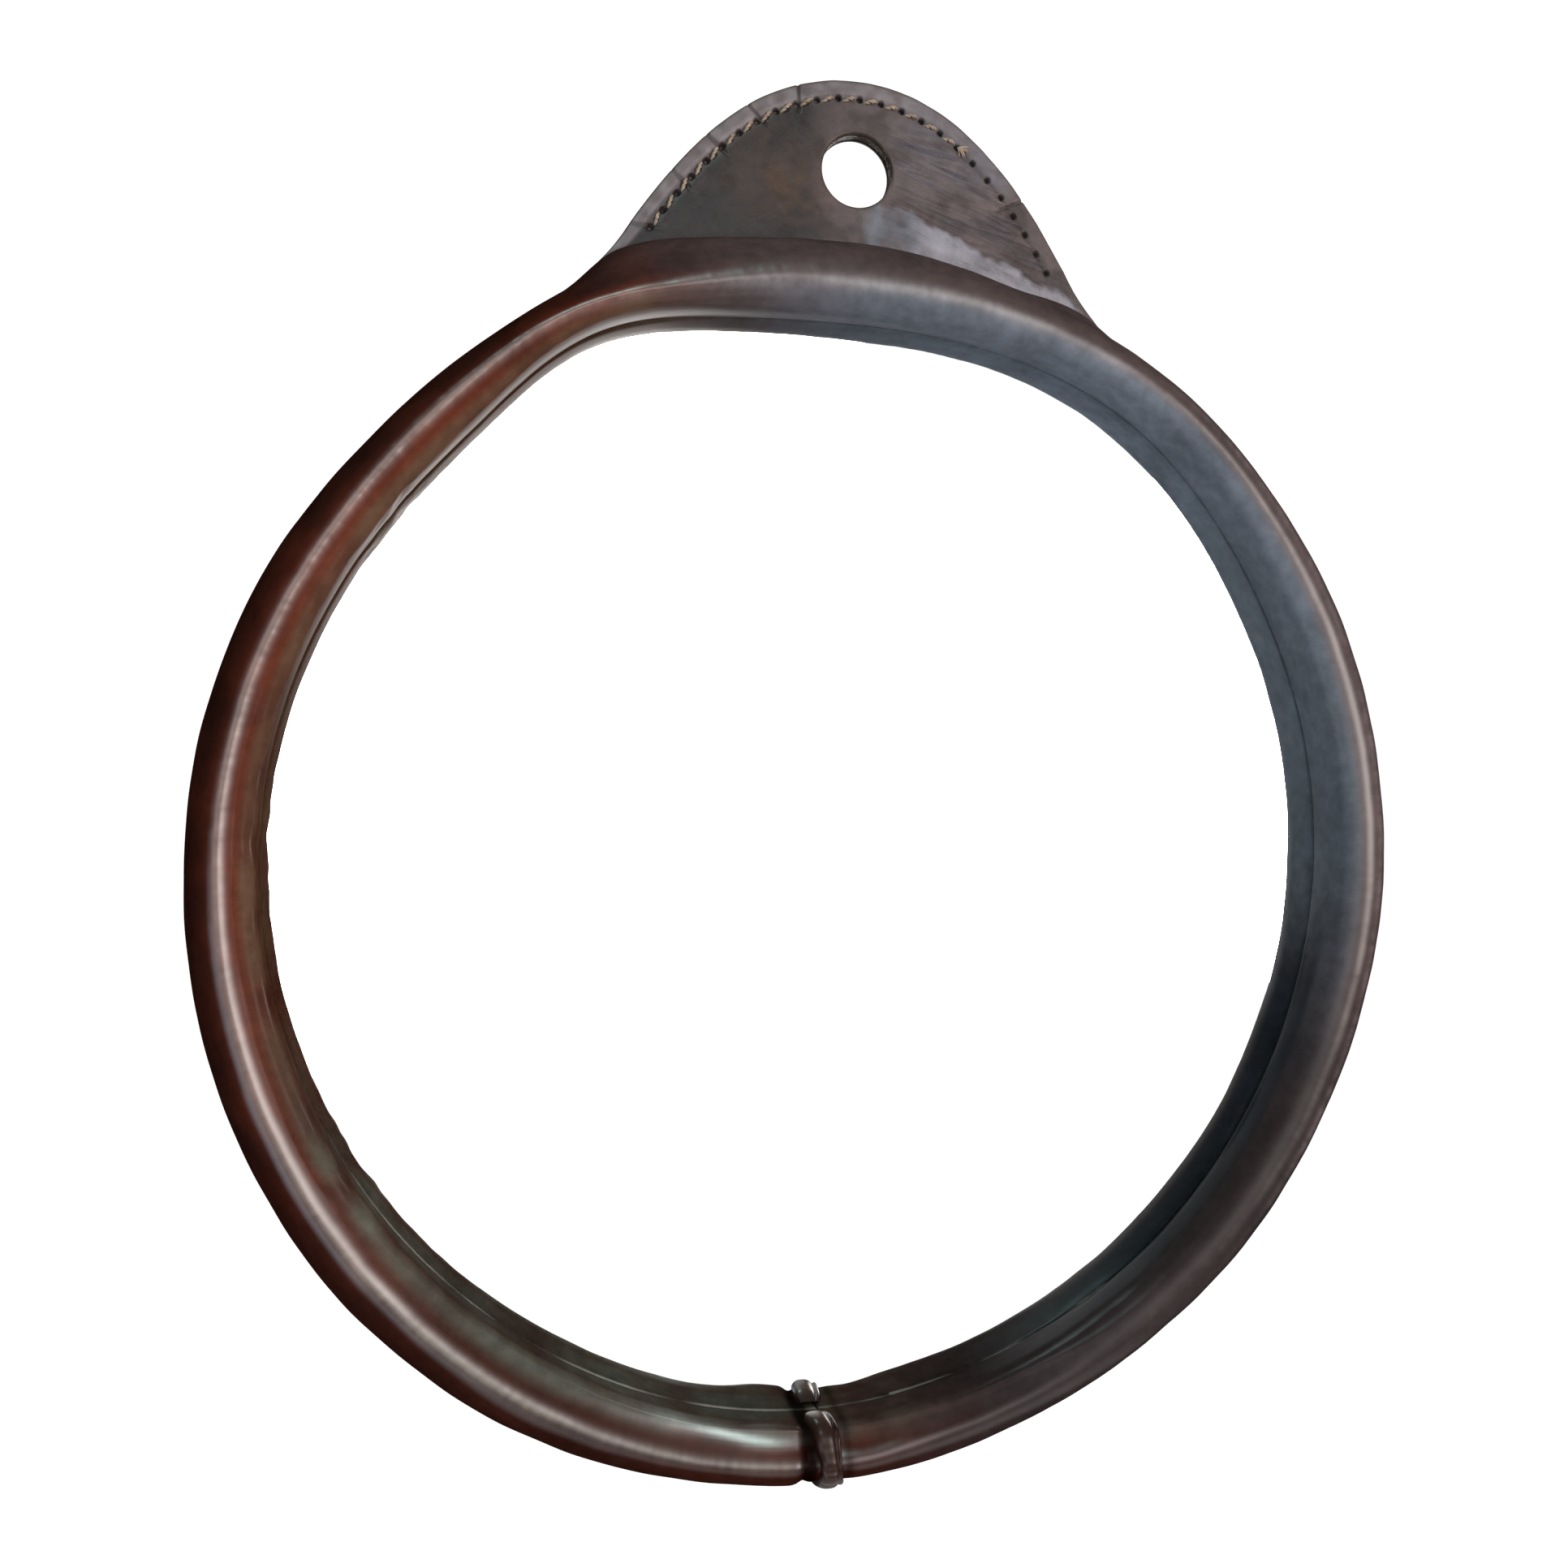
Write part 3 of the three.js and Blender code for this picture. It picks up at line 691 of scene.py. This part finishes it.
def add_band():
    """A strap over the butt joint, pinched where it bends over the crown, with a rolled edge on its right."""
    along, across = 130, 49
    crease = 0.345  # where it bends over the crown, as a share of its length
    line = spline(BEADED[4:-1], along, 1.6)
    outward = normals(line)
    travel = np.linspace(0, 1, along)
    half = 5.3 - 1.3 * bump_at(travel, crease, 0.09) - 1.6 * bump_at(travel, 0, 0.035)
    half = half - 0.4 * smoothstep(0.5, 0.8, travel)
    centre = -2.1 + 3.6 * smoothstep(0.02, 0.5, travel) + 0.5 * smoothstep(0.5, 0.75, travel)
    tip = np.sqrt(smoothstep(0, 0.07, travel))
    pinch = 1.15 * bump_at(travel, crease, 0.016) + 0.4 * bump_at(travel, crease + 0.075, 0.014)
    pillow = 1.0 * bump_at(travel, 0.15, 0.11) + 0.5 * bump_at(travel, 0.44, 0.06)
    polish = 0.25 + 0.5 * bump_at(travel, 0.06, 0.06) + 0.4 * bump_at(travel, 0.42, 0.05)
    points = []
    colours = []
    for i in range(along):
        for k in range(across):
            u = -1 + 2 * k / (across - 1)
            strip = max(0.0, 1 - abs((u + 0.18) / 0.82) ** 2.6) ** 0.55
            rolled = max(0.0, 1 - ((u - 0.8) / 0.2) ** 2) ** 0.5
            rise = 0.1 + strip * (1.9 + pillow[i] - pinch[i]) + rolled * (1.15 + 0.4 * pillow[i])
            rise = rise * (0.12 + 0.88 * tip[i])
            if k in (0, across - 1):
                rise = -1.6  # the edges go into the roll
            at = line[i] + outward[i] * rise
            points.append(place(centre[i] + u * half[i], -radius_at(at[0], JOINT), at[1]))
            rub = 0.75 * bump_at(travel[i], 0.07, 0.09) * strip + 0.25 * strip
            colours.append((*(DARK * 0.8 + (BROWN - DARK) * 0.3 * rub), polish[i]))
    faces = grid_faces(along, across, flip=True)
    return add_mesh("joint_band_leather", points, faces, roll_material, np.array(colours))


band = add_band()
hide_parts("joint_band")
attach(band, "root")

# ---------------------------------------------------------------- the tab's outline and seam

SHOULDER = (88, 240)
foot_point = turned(OUTER_RADIUS + 1, TAB_BASE)
side_top = bezier((0, TAB_TIP), (36, TAB_TIP), (62, 281), SHOULDER, 60)
side_foot = bezier(SHOULDER, (94, 229.5), (104, 217.5), foot_point, 40)
right_side = np.vstack([side_top, side_foot[1:]])


def tab_outline(inner_d, count):
    """The tab's outline as distances from the hole's centre, at even turns round it.

    It ends below on an arc of the ring, inner_d outwards from the leather's inner edge.
    """
    turns = np.linspace(TAB_BASE, 180 - TAB_BASE, 60)
    arc = np.column_stack(turned(radius_at(inner_d, turns), turns))
    left_side = right_side * (-1, 1)
    line = np.vstack([right_side[::-1], left_side[1:], arc[::-1]]) - np.array(HOLE)
    bearing = np.arctan2(line[:, 1], line[:, 0]) % (2 * math.pi)
    order = np.argsort(bearing)
    want = np.linspace(0, 2 * math.pi, count, endpoint=False)
    return np.interp(want, bearing[order], np.hypot(*line[order].T), period=2 * math.pi)


SEAM_INSET = 7
STITCH_LENGTH = 8.4
STITCHES_LOST = 7


def stitch_line():
    """Punctures from the left foot to the right one."""
    inside = side_top - normals(side_top) * SEAM_INSET
    left = inside[::-1] * (-1, 1)
    line = np.vstack([left[:-1], inside])
    count = int(lengths_along(line)[-1] // STITCH_LENGTH)
    return spline(line, count * 2 + 1)[1::2]


punctures = stitch_line()
sewn = punctures[:-STITCHES_LOST]
seam = spline(punctures, 300)


def nearest(x, z, to):
    """How far each point is from the nearest of some others."""
    p = np.column_stack([x, z])
    return np.linalg.norm(p[:, None, :] - to[None, :, :], axis=2).min(axis=1)


# ---------------------------------------------------------------- the tab's leathers


def tab_sheet(name, rings, count, inner_d, face_h, rim_h, facing, material, relief, colour_of):
    """One leather face of the tab: a sheet from the hole's wall to the outline, with rounded rims.

    facing is 1 for the front and -1 for the back, and relief and colour_of give each point's height
    and colour from its place and its distances to the hole and to the outline.
    """
    rim = 1.2
    outline = tab_outline(inner_d, count)
    bearing = np.linspace(0, 2 * math.pi, count, endpoint=False)
    rows = [(np.full(count, HOLE_RADIUS), level) for level in (rim_h, 0.45 * rim_h + 0.55 * face_h)]
    for step in np.linspace(0, 1, rings):
        rows.append((HOLE_RADIUS + 0.1 + (outline - HOLE_RADIUS - 0.1) * step, None))
    rows.append((outline, rim_h))
    points = []
    colours = []
    for reach, level in rows:
        x = HOLE[0] + reach * np.cos(bearing)
        z = HOLE[1] + reach * np.sin(bearing)
        to_hole = reach - HOLE_RADIUS
        to_edge = outline - reach
        if level is None:
            near = rim - np.clip(np.minimum(to_hole, to_edge), 0, rim)
            rounding = rim - np.sqrt(rim**2 - near**2)
            level = face_h + facing * (relief(x, z, to_hole, to_edge) - rounding)
        points.extend(rows_of_places(x, z, level))
        colours.append(colour_of(x, z, to_hole, to_edge))
    faces = grid_faces(len(rows), count, flip=facing < 0, close_columns=True)
    return add_mesh(name, points, faces, material, np.vstack(colours))


# places on the seam where a crease crosses the margin, with how far it leans
MARGIN_CREASES = [
    (-24, 293, 1.5),
    (-38, 285, -2.5),
    (-53, 272, -1.0),
    (-66, 257, 1.2),
    (-77, 240, -2.0),
    (60, 263, 1.5),
]
FLOW = math.radians(-17)  # the way the creases run, away from the hole on its right


def flow_noise(x, z, length, width, seed):
    """Noise drawn out along the creases."""
    u = (x * math.cos(FLOW) + z * math.sin(FLOW)) / length
    v = (z * math.cos(FLOW) - x * math.sin(FLOW)) / width
    return soft_noise(np.column_stack([u, v, np.zeros_like(u)]), 1.0, seed)


def on_face(x, z):
    return np.column_stack([x, z, np.zeros_like(x)])


def creased(x, z, to_hole, to_edge):
    """Where the grain has lifted in long creases: right of the hole, inside the seam."""
    inside_seam = smoothstep(6, 13, to_edge) * smoothstep(297, 283, z)
    return smoothstep(6, 20, x) * smoothstep(0, 5, to_hole) * inside_seam


def peeled(x, z):
    """Where the grain has peeled: below a ragged line."""
    ragged = 3.5 * soft_noise(on_face(x, z), 12, 15) + 1.6 * soft_noise(on_face(x, z), 4, 16)
    line = 258.5 - 0.38 * (x - 15) + ragged
    return smoothstep(1.4, -1.4, z - line) * smoothstep(0, 9, x + ragged)


def margin_creases(x, z):
    total = np.zeros_like(x)
    for crease_x, crease_z, slant in MARGIN_CREASES:
        out = np.array((crease_x, crease_z - 215.0)) / math.hypot(crease_x, crease_z - 215)
        across = (x - crease_x) * out[1] - (z - crease_z) * out[0]
        outwards = (x - crease_x) * out[0] + (z - crease_z) * out[1]
        bend = across - slant * outwards / SEAM_INSET
        total += bump_at(bend, 0, 0.6) * smoothstep(-4, 0, outwards) * smoothstep(13, 9, outwards)
    return total


def front_relief(x, z, to_hole, to_edge):
    face = on_face(x, z)
    relief = 0.6 * soft_noise(face, 34, 4) + 0.38 * soft_noise(face, 9, 5) + 0.1 * soft_noise(face, 3.2, 13)
    relief -= 0.5 * bump_at(nearest(x, z, seam), 0, 1.5)
    relief += 0.25 * smoothstep(7.5, 5, to_edge)
    relief -= 1.9 * np.exp(-((nearest(x, z, punctures) / 1.05) ** 4))
    long = 1 - np.clip(np.abs(flow_noise(x, z, 30, 3.4, 6)) * 4, 0, 1)
    fine = 1 - np.clip(np.abs(flow_noise(x, z, 13, 1.5, 7)) * 3, 0, 1)
    where = creased(x, z, to_hole, to_edge)
    relief -= where * (0.3 * long**2 + 0.1 * fine**2)
    relief += 0.5 * where * flow_noise(x, z, 30, 7, 8)
    # the peeled part lies a step lower
    relief -= 0.3 * peeled(x, z) * smoothstep(6, 9, to_edge)
    relief -= 0.8 * margin_creases(x, z)
    return relief


def front_colour(x, z, to_hole, to_edge):
    face = on_face(x, z)
    wander = np.clip(2.2 * soft_noise(face, 15, 7), -1, 1)
    fleck = np.clip(2.2 * soft_noise(face, 4.5, 8), -1, 1)
    streak = np.clip(2.2 * flow_noise(x, z, 16, 3.2, 9), -1, 1)
    upper_right = smoothstep(10, 25, x) * smoothstep(262, 275, z)
    lower_left = smoothstep(255, 244, z + 5 * wander) * smoothstep(12, -6, x)
    left_foot = bump_at(np.hypot((x + 60) / 1.5, z - 246), 0, 14)
    red_stain = bump_at(np.hypot((x + 30) / 1.35, z - 262), 0, 12)
    upper_stain = bump_at(np.hypot((x + 38) / 1.8, z - 279), 0, 7)
    bare = peeled(x, z) * smoothstep(4, 8, to_edge)
    margin = smoothstep(8.5, 6.5, to_edge) * smoothstep(60, 20, x)
    colour = np.tile((0.064, 0.046, 0.041), (len(x), 1))
    colour = laid(colour, (0.032, 0.022, 0.019), 0.75 * smoothstep(-0.35, 0.8, wander + 0.45 * fleck))
    colour = laid(colour, (0.036, 0.029, 0.028), (0.65 + 0.35 * fleck) * lower_left)
    colour = laid(colour, (0.044, 0.034, 0.033), 0.8 * left_foot)
    colour = laid(colour, (0.115, 0.060, 0.036), red_stain * (0.6 + 0.5 * fleck))
    colour = laid(colour, (0.100, 0.060, 0.045), 0.7 * upper_stain * (0.6 + 0.6 * fleck))
    colour = laid(colour, (0.086, 0.074, 0.076), 0.75 * upper_right * (0.7 + 0.5 * streak))
    between = 0.75 * creased(x, z, to_hole, to_edge) * smoothstep(0, 0.8, streak)
    colour = laid(colour, (0.034, 0.027, 0.028), between)
    colour = laid(colour, (0.098, 0.097, 0.103), 0.85 * bare * (0.75 + 0.4 * fleck))
    palest = bare * smoothstep(18, 36, x + 3 * wander)
    colour = laid(colour, (0.200, 0.180, 0.186), 0.85 * palest * (0.9 + 0.25 * streak))
    colour = laid(colour, (0.125, 0.105, 0.100), 0.8 * margin * (0.75 + 0.4 * fleck))
    # painted shade: the left half inside the seam is darker
    painted_shade_left = smoothstep(-2, -24, x) * smoothstep(7.5, 10, to_edge)
    colour = colour * (1.18, 1.2, 1.34) * (1 - 0.65 * painted_shade_left)[:, None]
    # painted shade in the creases across the margin
    colour = laid(colour, (0.025, 0.018, 0.016), 0.7 * margin_creases(x, z))
    colour = laid(colour, (0.050, 0.034, 0.026), bump_at(to_edge, 0, 1.1) + bump_at(to_hole, -0.3, 1.2))
    # painted shade in the punctures and along the seam's groove
    painted_hole_shade = np.exp(-((nearest(x, z, punctures) / 1.15) ** 4))
    return laid(colour, (0.020, 0.013, 0.011), painted_hole_shade + 0.5 * bump_at(nearest(x, z, seam), 0, 0.9))


def back_relief(x, z, to_hole, to_edge):
    return 0.12 * soft_noise(on_face(x, z), 30, 9) - 0.25 * bump_at(nearest(x, z, seam), 0, 1.6)


def back_colour(x, z, to_hole, to_edge):
    # darker at the edge and round the punctures
    darker_edge_and_punctures = np.clip(bump_at(to_edge, 0, 1.5) + bump_at(nearest(x, z, punctures), 0, 1.0), 0, 1)
    return laid(np.array((0.050, 0.030, 0.020)), (0.020, 0.012, 0.009), 0.8 * darker_edge_and_punctures)


tab_front = tab_sheet(
    "tab_front_leather",
    rings=150,
    count=1100,
    inner_d=20.5,
    face_h=TAB_FRONT_H,
    rim_h=PANEL_FRONT_H,
    facing=1,
    material=tab_material,
    relief=front_relief,
    colour_of=front_colour,
)
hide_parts("tab_front")
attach(tab_front, "root")

tab_back = tab_sheet(
    "tab_back_leather",
    rings=60,
    count=ROUND,
    inner_d=16.5,
    face_h=BACK_H,
    rim_h=PANEL_BACK_H - 0.2,
    facing=-1,
    material=back_material,
    relief=back_relief,
    colour_of=back_colour,
)
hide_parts("tab_back")
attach(tab_back, "root")

# ---------------------------------------------------------------- the panel


def add_panel():
    """The panel's end in the tab, whose edge shows between the leathers, and its disc behind the glass."""
    front, back = PANEL_FRONT_H + 0.1, PANEL_BACK_H - 0.2
    hole = HOLE_RADIUS + 0.1
    outline = tab_outline(10, ROUND) - 0.15
    bearing = np.linspace(0, 2 * math.pi, ROUND, endpoint=False)
    points = []
    for reach, level in ((hole, back), (hole, front), (outline, front), (outline, back)):
        x = HOLE[0] + reach * np.cos(bearing)
        z = HOLE[1] + reach * np.sin(bearing)
        points.extend(rows_of_places(x, z, level))
    faces = grid_faces(4, ROUND, close_rows=True, close_columns=True)
    first = len(points)
    turns = np.arange(SEGMENTS) * 360 / SEGMENTS
    for level in (PANEL_FRONT_H, PANEL_BACK_H):
        points.extend(rows_of_places(*turned(radius_at(18.6, turns), turns), level))
    faces.append(tuple(first + k for k in range(SEGMENTS)))
    faces.append(tuple(first + SEGMENTS + k for k in reversed(range(SEGMENTS))))
    faces += grid_faces(2, SEGMENTS, close_columns=True, start=first)
    return add_mesh("panel_board", points, faces, edge_material, smooth=False)


panel = add_panel()
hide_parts("back_panel")
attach(panel, "root")

# ---------------------------------------------------------------- the thread

PLY_RADIUS = 0.47
PLY_SWING = 0.33
PLY_TURNS = 1.6


def add_tube(path, radius, sides, points, faces):
    """Adds a round tube along a path of (x, z, h), tapered at its ends, to lists of points and faces."""
    path = np.array(path, float)
    first = len(points)
    last = len(path) - 1
    for i in range(len(path)):
        ahead = path[min(i + 1, last)] - path[max(i - 1, 0)]
        ahead /= np.linalg.norm(ahead)
        side = np.cross(ahead, (0, 0, 1.0))
        side /= np.linalg.norm(side) + 1e-9
        over = np.cross(side, ahead)
        r = radius * (0.35 if i in (0, last) else 1)
        for k in range(sides):
            t = 2 * math.pi * k / sides
            points.append(place(*(path[i] + r * (math.cos(t) * side + math.sin(t) * over))))
    faces += grid_faces(len(path), sides, flip=True, close_columns=True, start=first)
    faces.append(tuple(first + k for k in reversed(range(sides))))
    faces.append(tuple(first + last * sides + k for k in range(sides)))


def stitch_path(a, b, level, facing, ply):
    """One ply of a stitch from puncture a to puncture b, which dives into the leather at both ends."""
    along = (b - a) / np.linalg.norm(b - a)
    across = np.array((-along[1], along[0]))
    path = []
    for t in np.linspace(0, 1, 15):
        bulge = math.sin(math.pi * t) ** 0.6
        twist = ply * math.pi + t * 2 * math.pi * PLY_TURNS
        slant = 1.9 * (t - 0.5) * facing
        sideways = slant + PLY_SWING * bulge * math.cos(twist)
        at = a + (b - a) * (0.18 + 0.64 * t) + across * sideways
        rise = level + facing * (-1.6 + 1.75 * bulge + PLY_SWING * bulge * math.sin(twist))
        path.append((at[0], at[1], rise))
    return path


def frayed_path(end, ahead, number):
    """One strand of the frayed end, each longer or shorter than the last."""
    swing = (number - 4) * 0.3
    reach = 2.8 + 2.2 * abs(math.sin(number * 2.3))
    side = np.array((-ahead[1], ahead[0]))
    path = []
    for t in np.linspace(0, 1, 6):
        at = end + ahead * reach * t + side * swing * 2.4 * t
        path.append((at[0], at[1], TAB_FRONT_H + 0.1 + 0.9 * math.sin(math.pi * t * 0.8)))
    return path


def add_thread():
    points = []
    faces = []
    for a, b in zip(sewn, sewn[1:]):
        for level, facing in ((TAB_FRONT_H, 1), (BACK_H, -1)):
            for ply in (0, 1):
                add_tube(stitch_path(a, b, level, facing, ply), PLY_RADIUS, 7, points, faces)
    ahead = (sewn[-1] - sewn[-2]) / np.linalg.norm(sewn[-1] - sewn[-2])
    for number in range(9):
        add_tube(frayed_path(sewn[-1], ahead, number), 0.2, 5, points, faces)
    return add_mesh("tab_stitches", points, faces, thread_material)


thread = add_thread()
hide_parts("tab_thread")
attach(thread, "root")

# ---------------------------------------------------------------- the back


def add_back_cover():
    """The leather disc on the back, slightly uneven, with its edge turned in."""
    circles = 30
    points = []
    shades = []
    for i in range(circles):
        share = i / (circles - 1)
        for k in range(SEGMENTS):
            turn = 360.0 * k / SEGMENTS
            x, z = turned(radius_at(11.9, turn) * max(share, 0.002), turn)
            bow = 0.2 * noise.noise(Vector((x, z, 3)) / 45)
            turned_in = 0.7 if i == circles - 1 else 0.0
            points.append(place(x, z, BACK_H - bow * (1 - share**6) + turned_in))
            shades.append(np.array((0.055, 0.034, 0.023)) * (1 - 0.4 * share**10))
    faces = grid_faces(circles, SEGMENTS, flip=True, close_columns=True)
    faces.append(tuple(range(SEGMENTS)))
    return add_mesh("back_cover_leather", points, faces, back_material, np.array(shades))


cover = add_back_cover()
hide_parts("back_cover")
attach(cover, "root")

# a tack's radii, with how far each is from the top of its head
TACK = [(0.05, 0.0), (0.9, 0.06), (1.6, 0.22), (2.05, 0.5), (2.2, 0.82), (0.6, 0.9), (0.6, 4.6), (0.05, 5.6)]


def add_tacks(nodes):
    sides = 20
    points = []
    faces = []
    for name in nodes:
        low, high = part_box(name)
        middle_x, middle_z = (low.x + high.x) / 2, (low.z + high.z) / 2
        first = len(points)
        for radius, depth in TACK:
            for k in range(sides):
                x, z = turned(radius * MM, 360 * k / sides)
                points.append((middle_x + x, high.y - depth * MM, middle_z + z))
        faces += grid_faces(len(TACK), sides, close_columns=True, start=first)
        faces.append(tuple(first + k for k in range(sides)))
    return add_mesh("tacks", points, faces, steel_material)


tack_nodes = sorted(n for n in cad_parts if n.startswith(("hem_tack", "band_tack")))
tacks = add_tacks(tack_nodes)
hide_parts(*tack_nodes)
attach(tacks, "root")

# ---------------------------------------------------------------- CAD nodes that stay

KEPT = {
    "mirror_glass": silvered(),
    "glass_card": card_material,
    "wooden_hoop": wood_material,
    "roll_rope": rope_material,
    "lip_felt": felt_material,
    "edge_felt": felt_material,
}
for name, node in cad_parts.items():
    material = screw_material if name.startswith("panel_screw") else KEPT.get(name)
    if material:
        node.data.materials.clear()
        node.data.materials.append(material)

# ---------------------------------------------------------------- floor and light


def add_floor():
    bpy.ops.mesh.primitive_plane_add(size=2.0, location=(0, -0.1, -1.35))
    floor = bpy.context.object
    floor.name = "floor"
    material, nodes, links, shader = new_material("pale_floor", 0.9)
    spot = noise_node(nodes, links, coordinates(nodes, links), 3, 2)
    pale = ramp(nodes, links, spot, [(0.2, (0.83, 0.83, 0.82)), (0.8, (0.86, 0.86, 0.85))])
    links.new(pale, shader.inputs["Base Color"])
    floor.data.materials.append(material)
    return floor


floor = add_floor()


def background(nodes, colour, strength):
    node = nodes.new("ShaderNodeBackground")
    node.inputs["Color"].default_value = (*colour, 1)
    node.inputs["Strength"].default_value = strength
    return node.outputs[0]


def add_world():
    """White where the camera looks, directly or in the mirror once, and dim for everything else."""
    world = bpy.data.worlds.new("studio")
    world.use_nodes = True
    nodes, links = world.node_tree.nodes, world.node_tree.links
    nodes.clear()
    path = nodes.new("ShaderNodeLightPath").outputs
    seen = math_node(nodes, links, "MAXIMUM", path["Is Camera Ray"], path["Is Singular Ray"])
    near = math_node(nodes, links, "LESS_THAN", path["Ray Depth"], 2.5)
    blend = nodes.new("ShaderNodeMixShader")
    output = nodes.new("ShaderNodeOutputWorld")
    links.new(math_node(nodes, links, "MULTIPLY", seen, near), blend.inputs[0])
    links.new(background(nodes, (0.9, 0.95, 1.0), 0.03), blend.inputs[1])
    links.new(background(nodes, (1, 1, 1), 1.08), blend.inputs[2])
    links.new(blend.outputs[0], output.inputs["Surface"])
    scene.world = world


add_world()


def softbox(name, at, size, power, colour):
    """A rectangular soft light that faces the middle of the mirror."""
    data = bpy.data.lights.new(name, "AREA")
    data.shape = "RECTANGLE"
    data.size, data.size_y = size
    data.energy = power
    data.color = colour
    lamp = bpy.data.objects.new(name, data)
    scene.collection.objects.link(lamp)
    lamp.location = at
    lamp.rotation_mode = "QUATERNION"
    lamp.rotation_quaternion = (Vector((0, 0, -0.25)) - Vector(at)).to_track_quat("-Z", "Y")


softbox("key", (1.45, -1.8, -0.15), (0.9, 1.0), 50, (1.0, 0.90, 0.86))
softbox("front", (-0.05, -2.3, 0.1), (1.3, 1.3), 20, (1.0, 0.97, 0.95))
softbox("window", (-0.75, -1.15, -0.85), (1.0, 0.8), 8, (0.78, 0.90, 1.0))
softbox("ceiling", (-0.35, -1.0, 1.0), (0.32, 0.26), 10, (0.72, 1.0, 0.96))
softbox("behind", (0.2, 1.7, 0.2), (1.0, 0.8), 30, (1.0, 0.98, 0.95))

scene.view_settings.view_transform = "Standard"
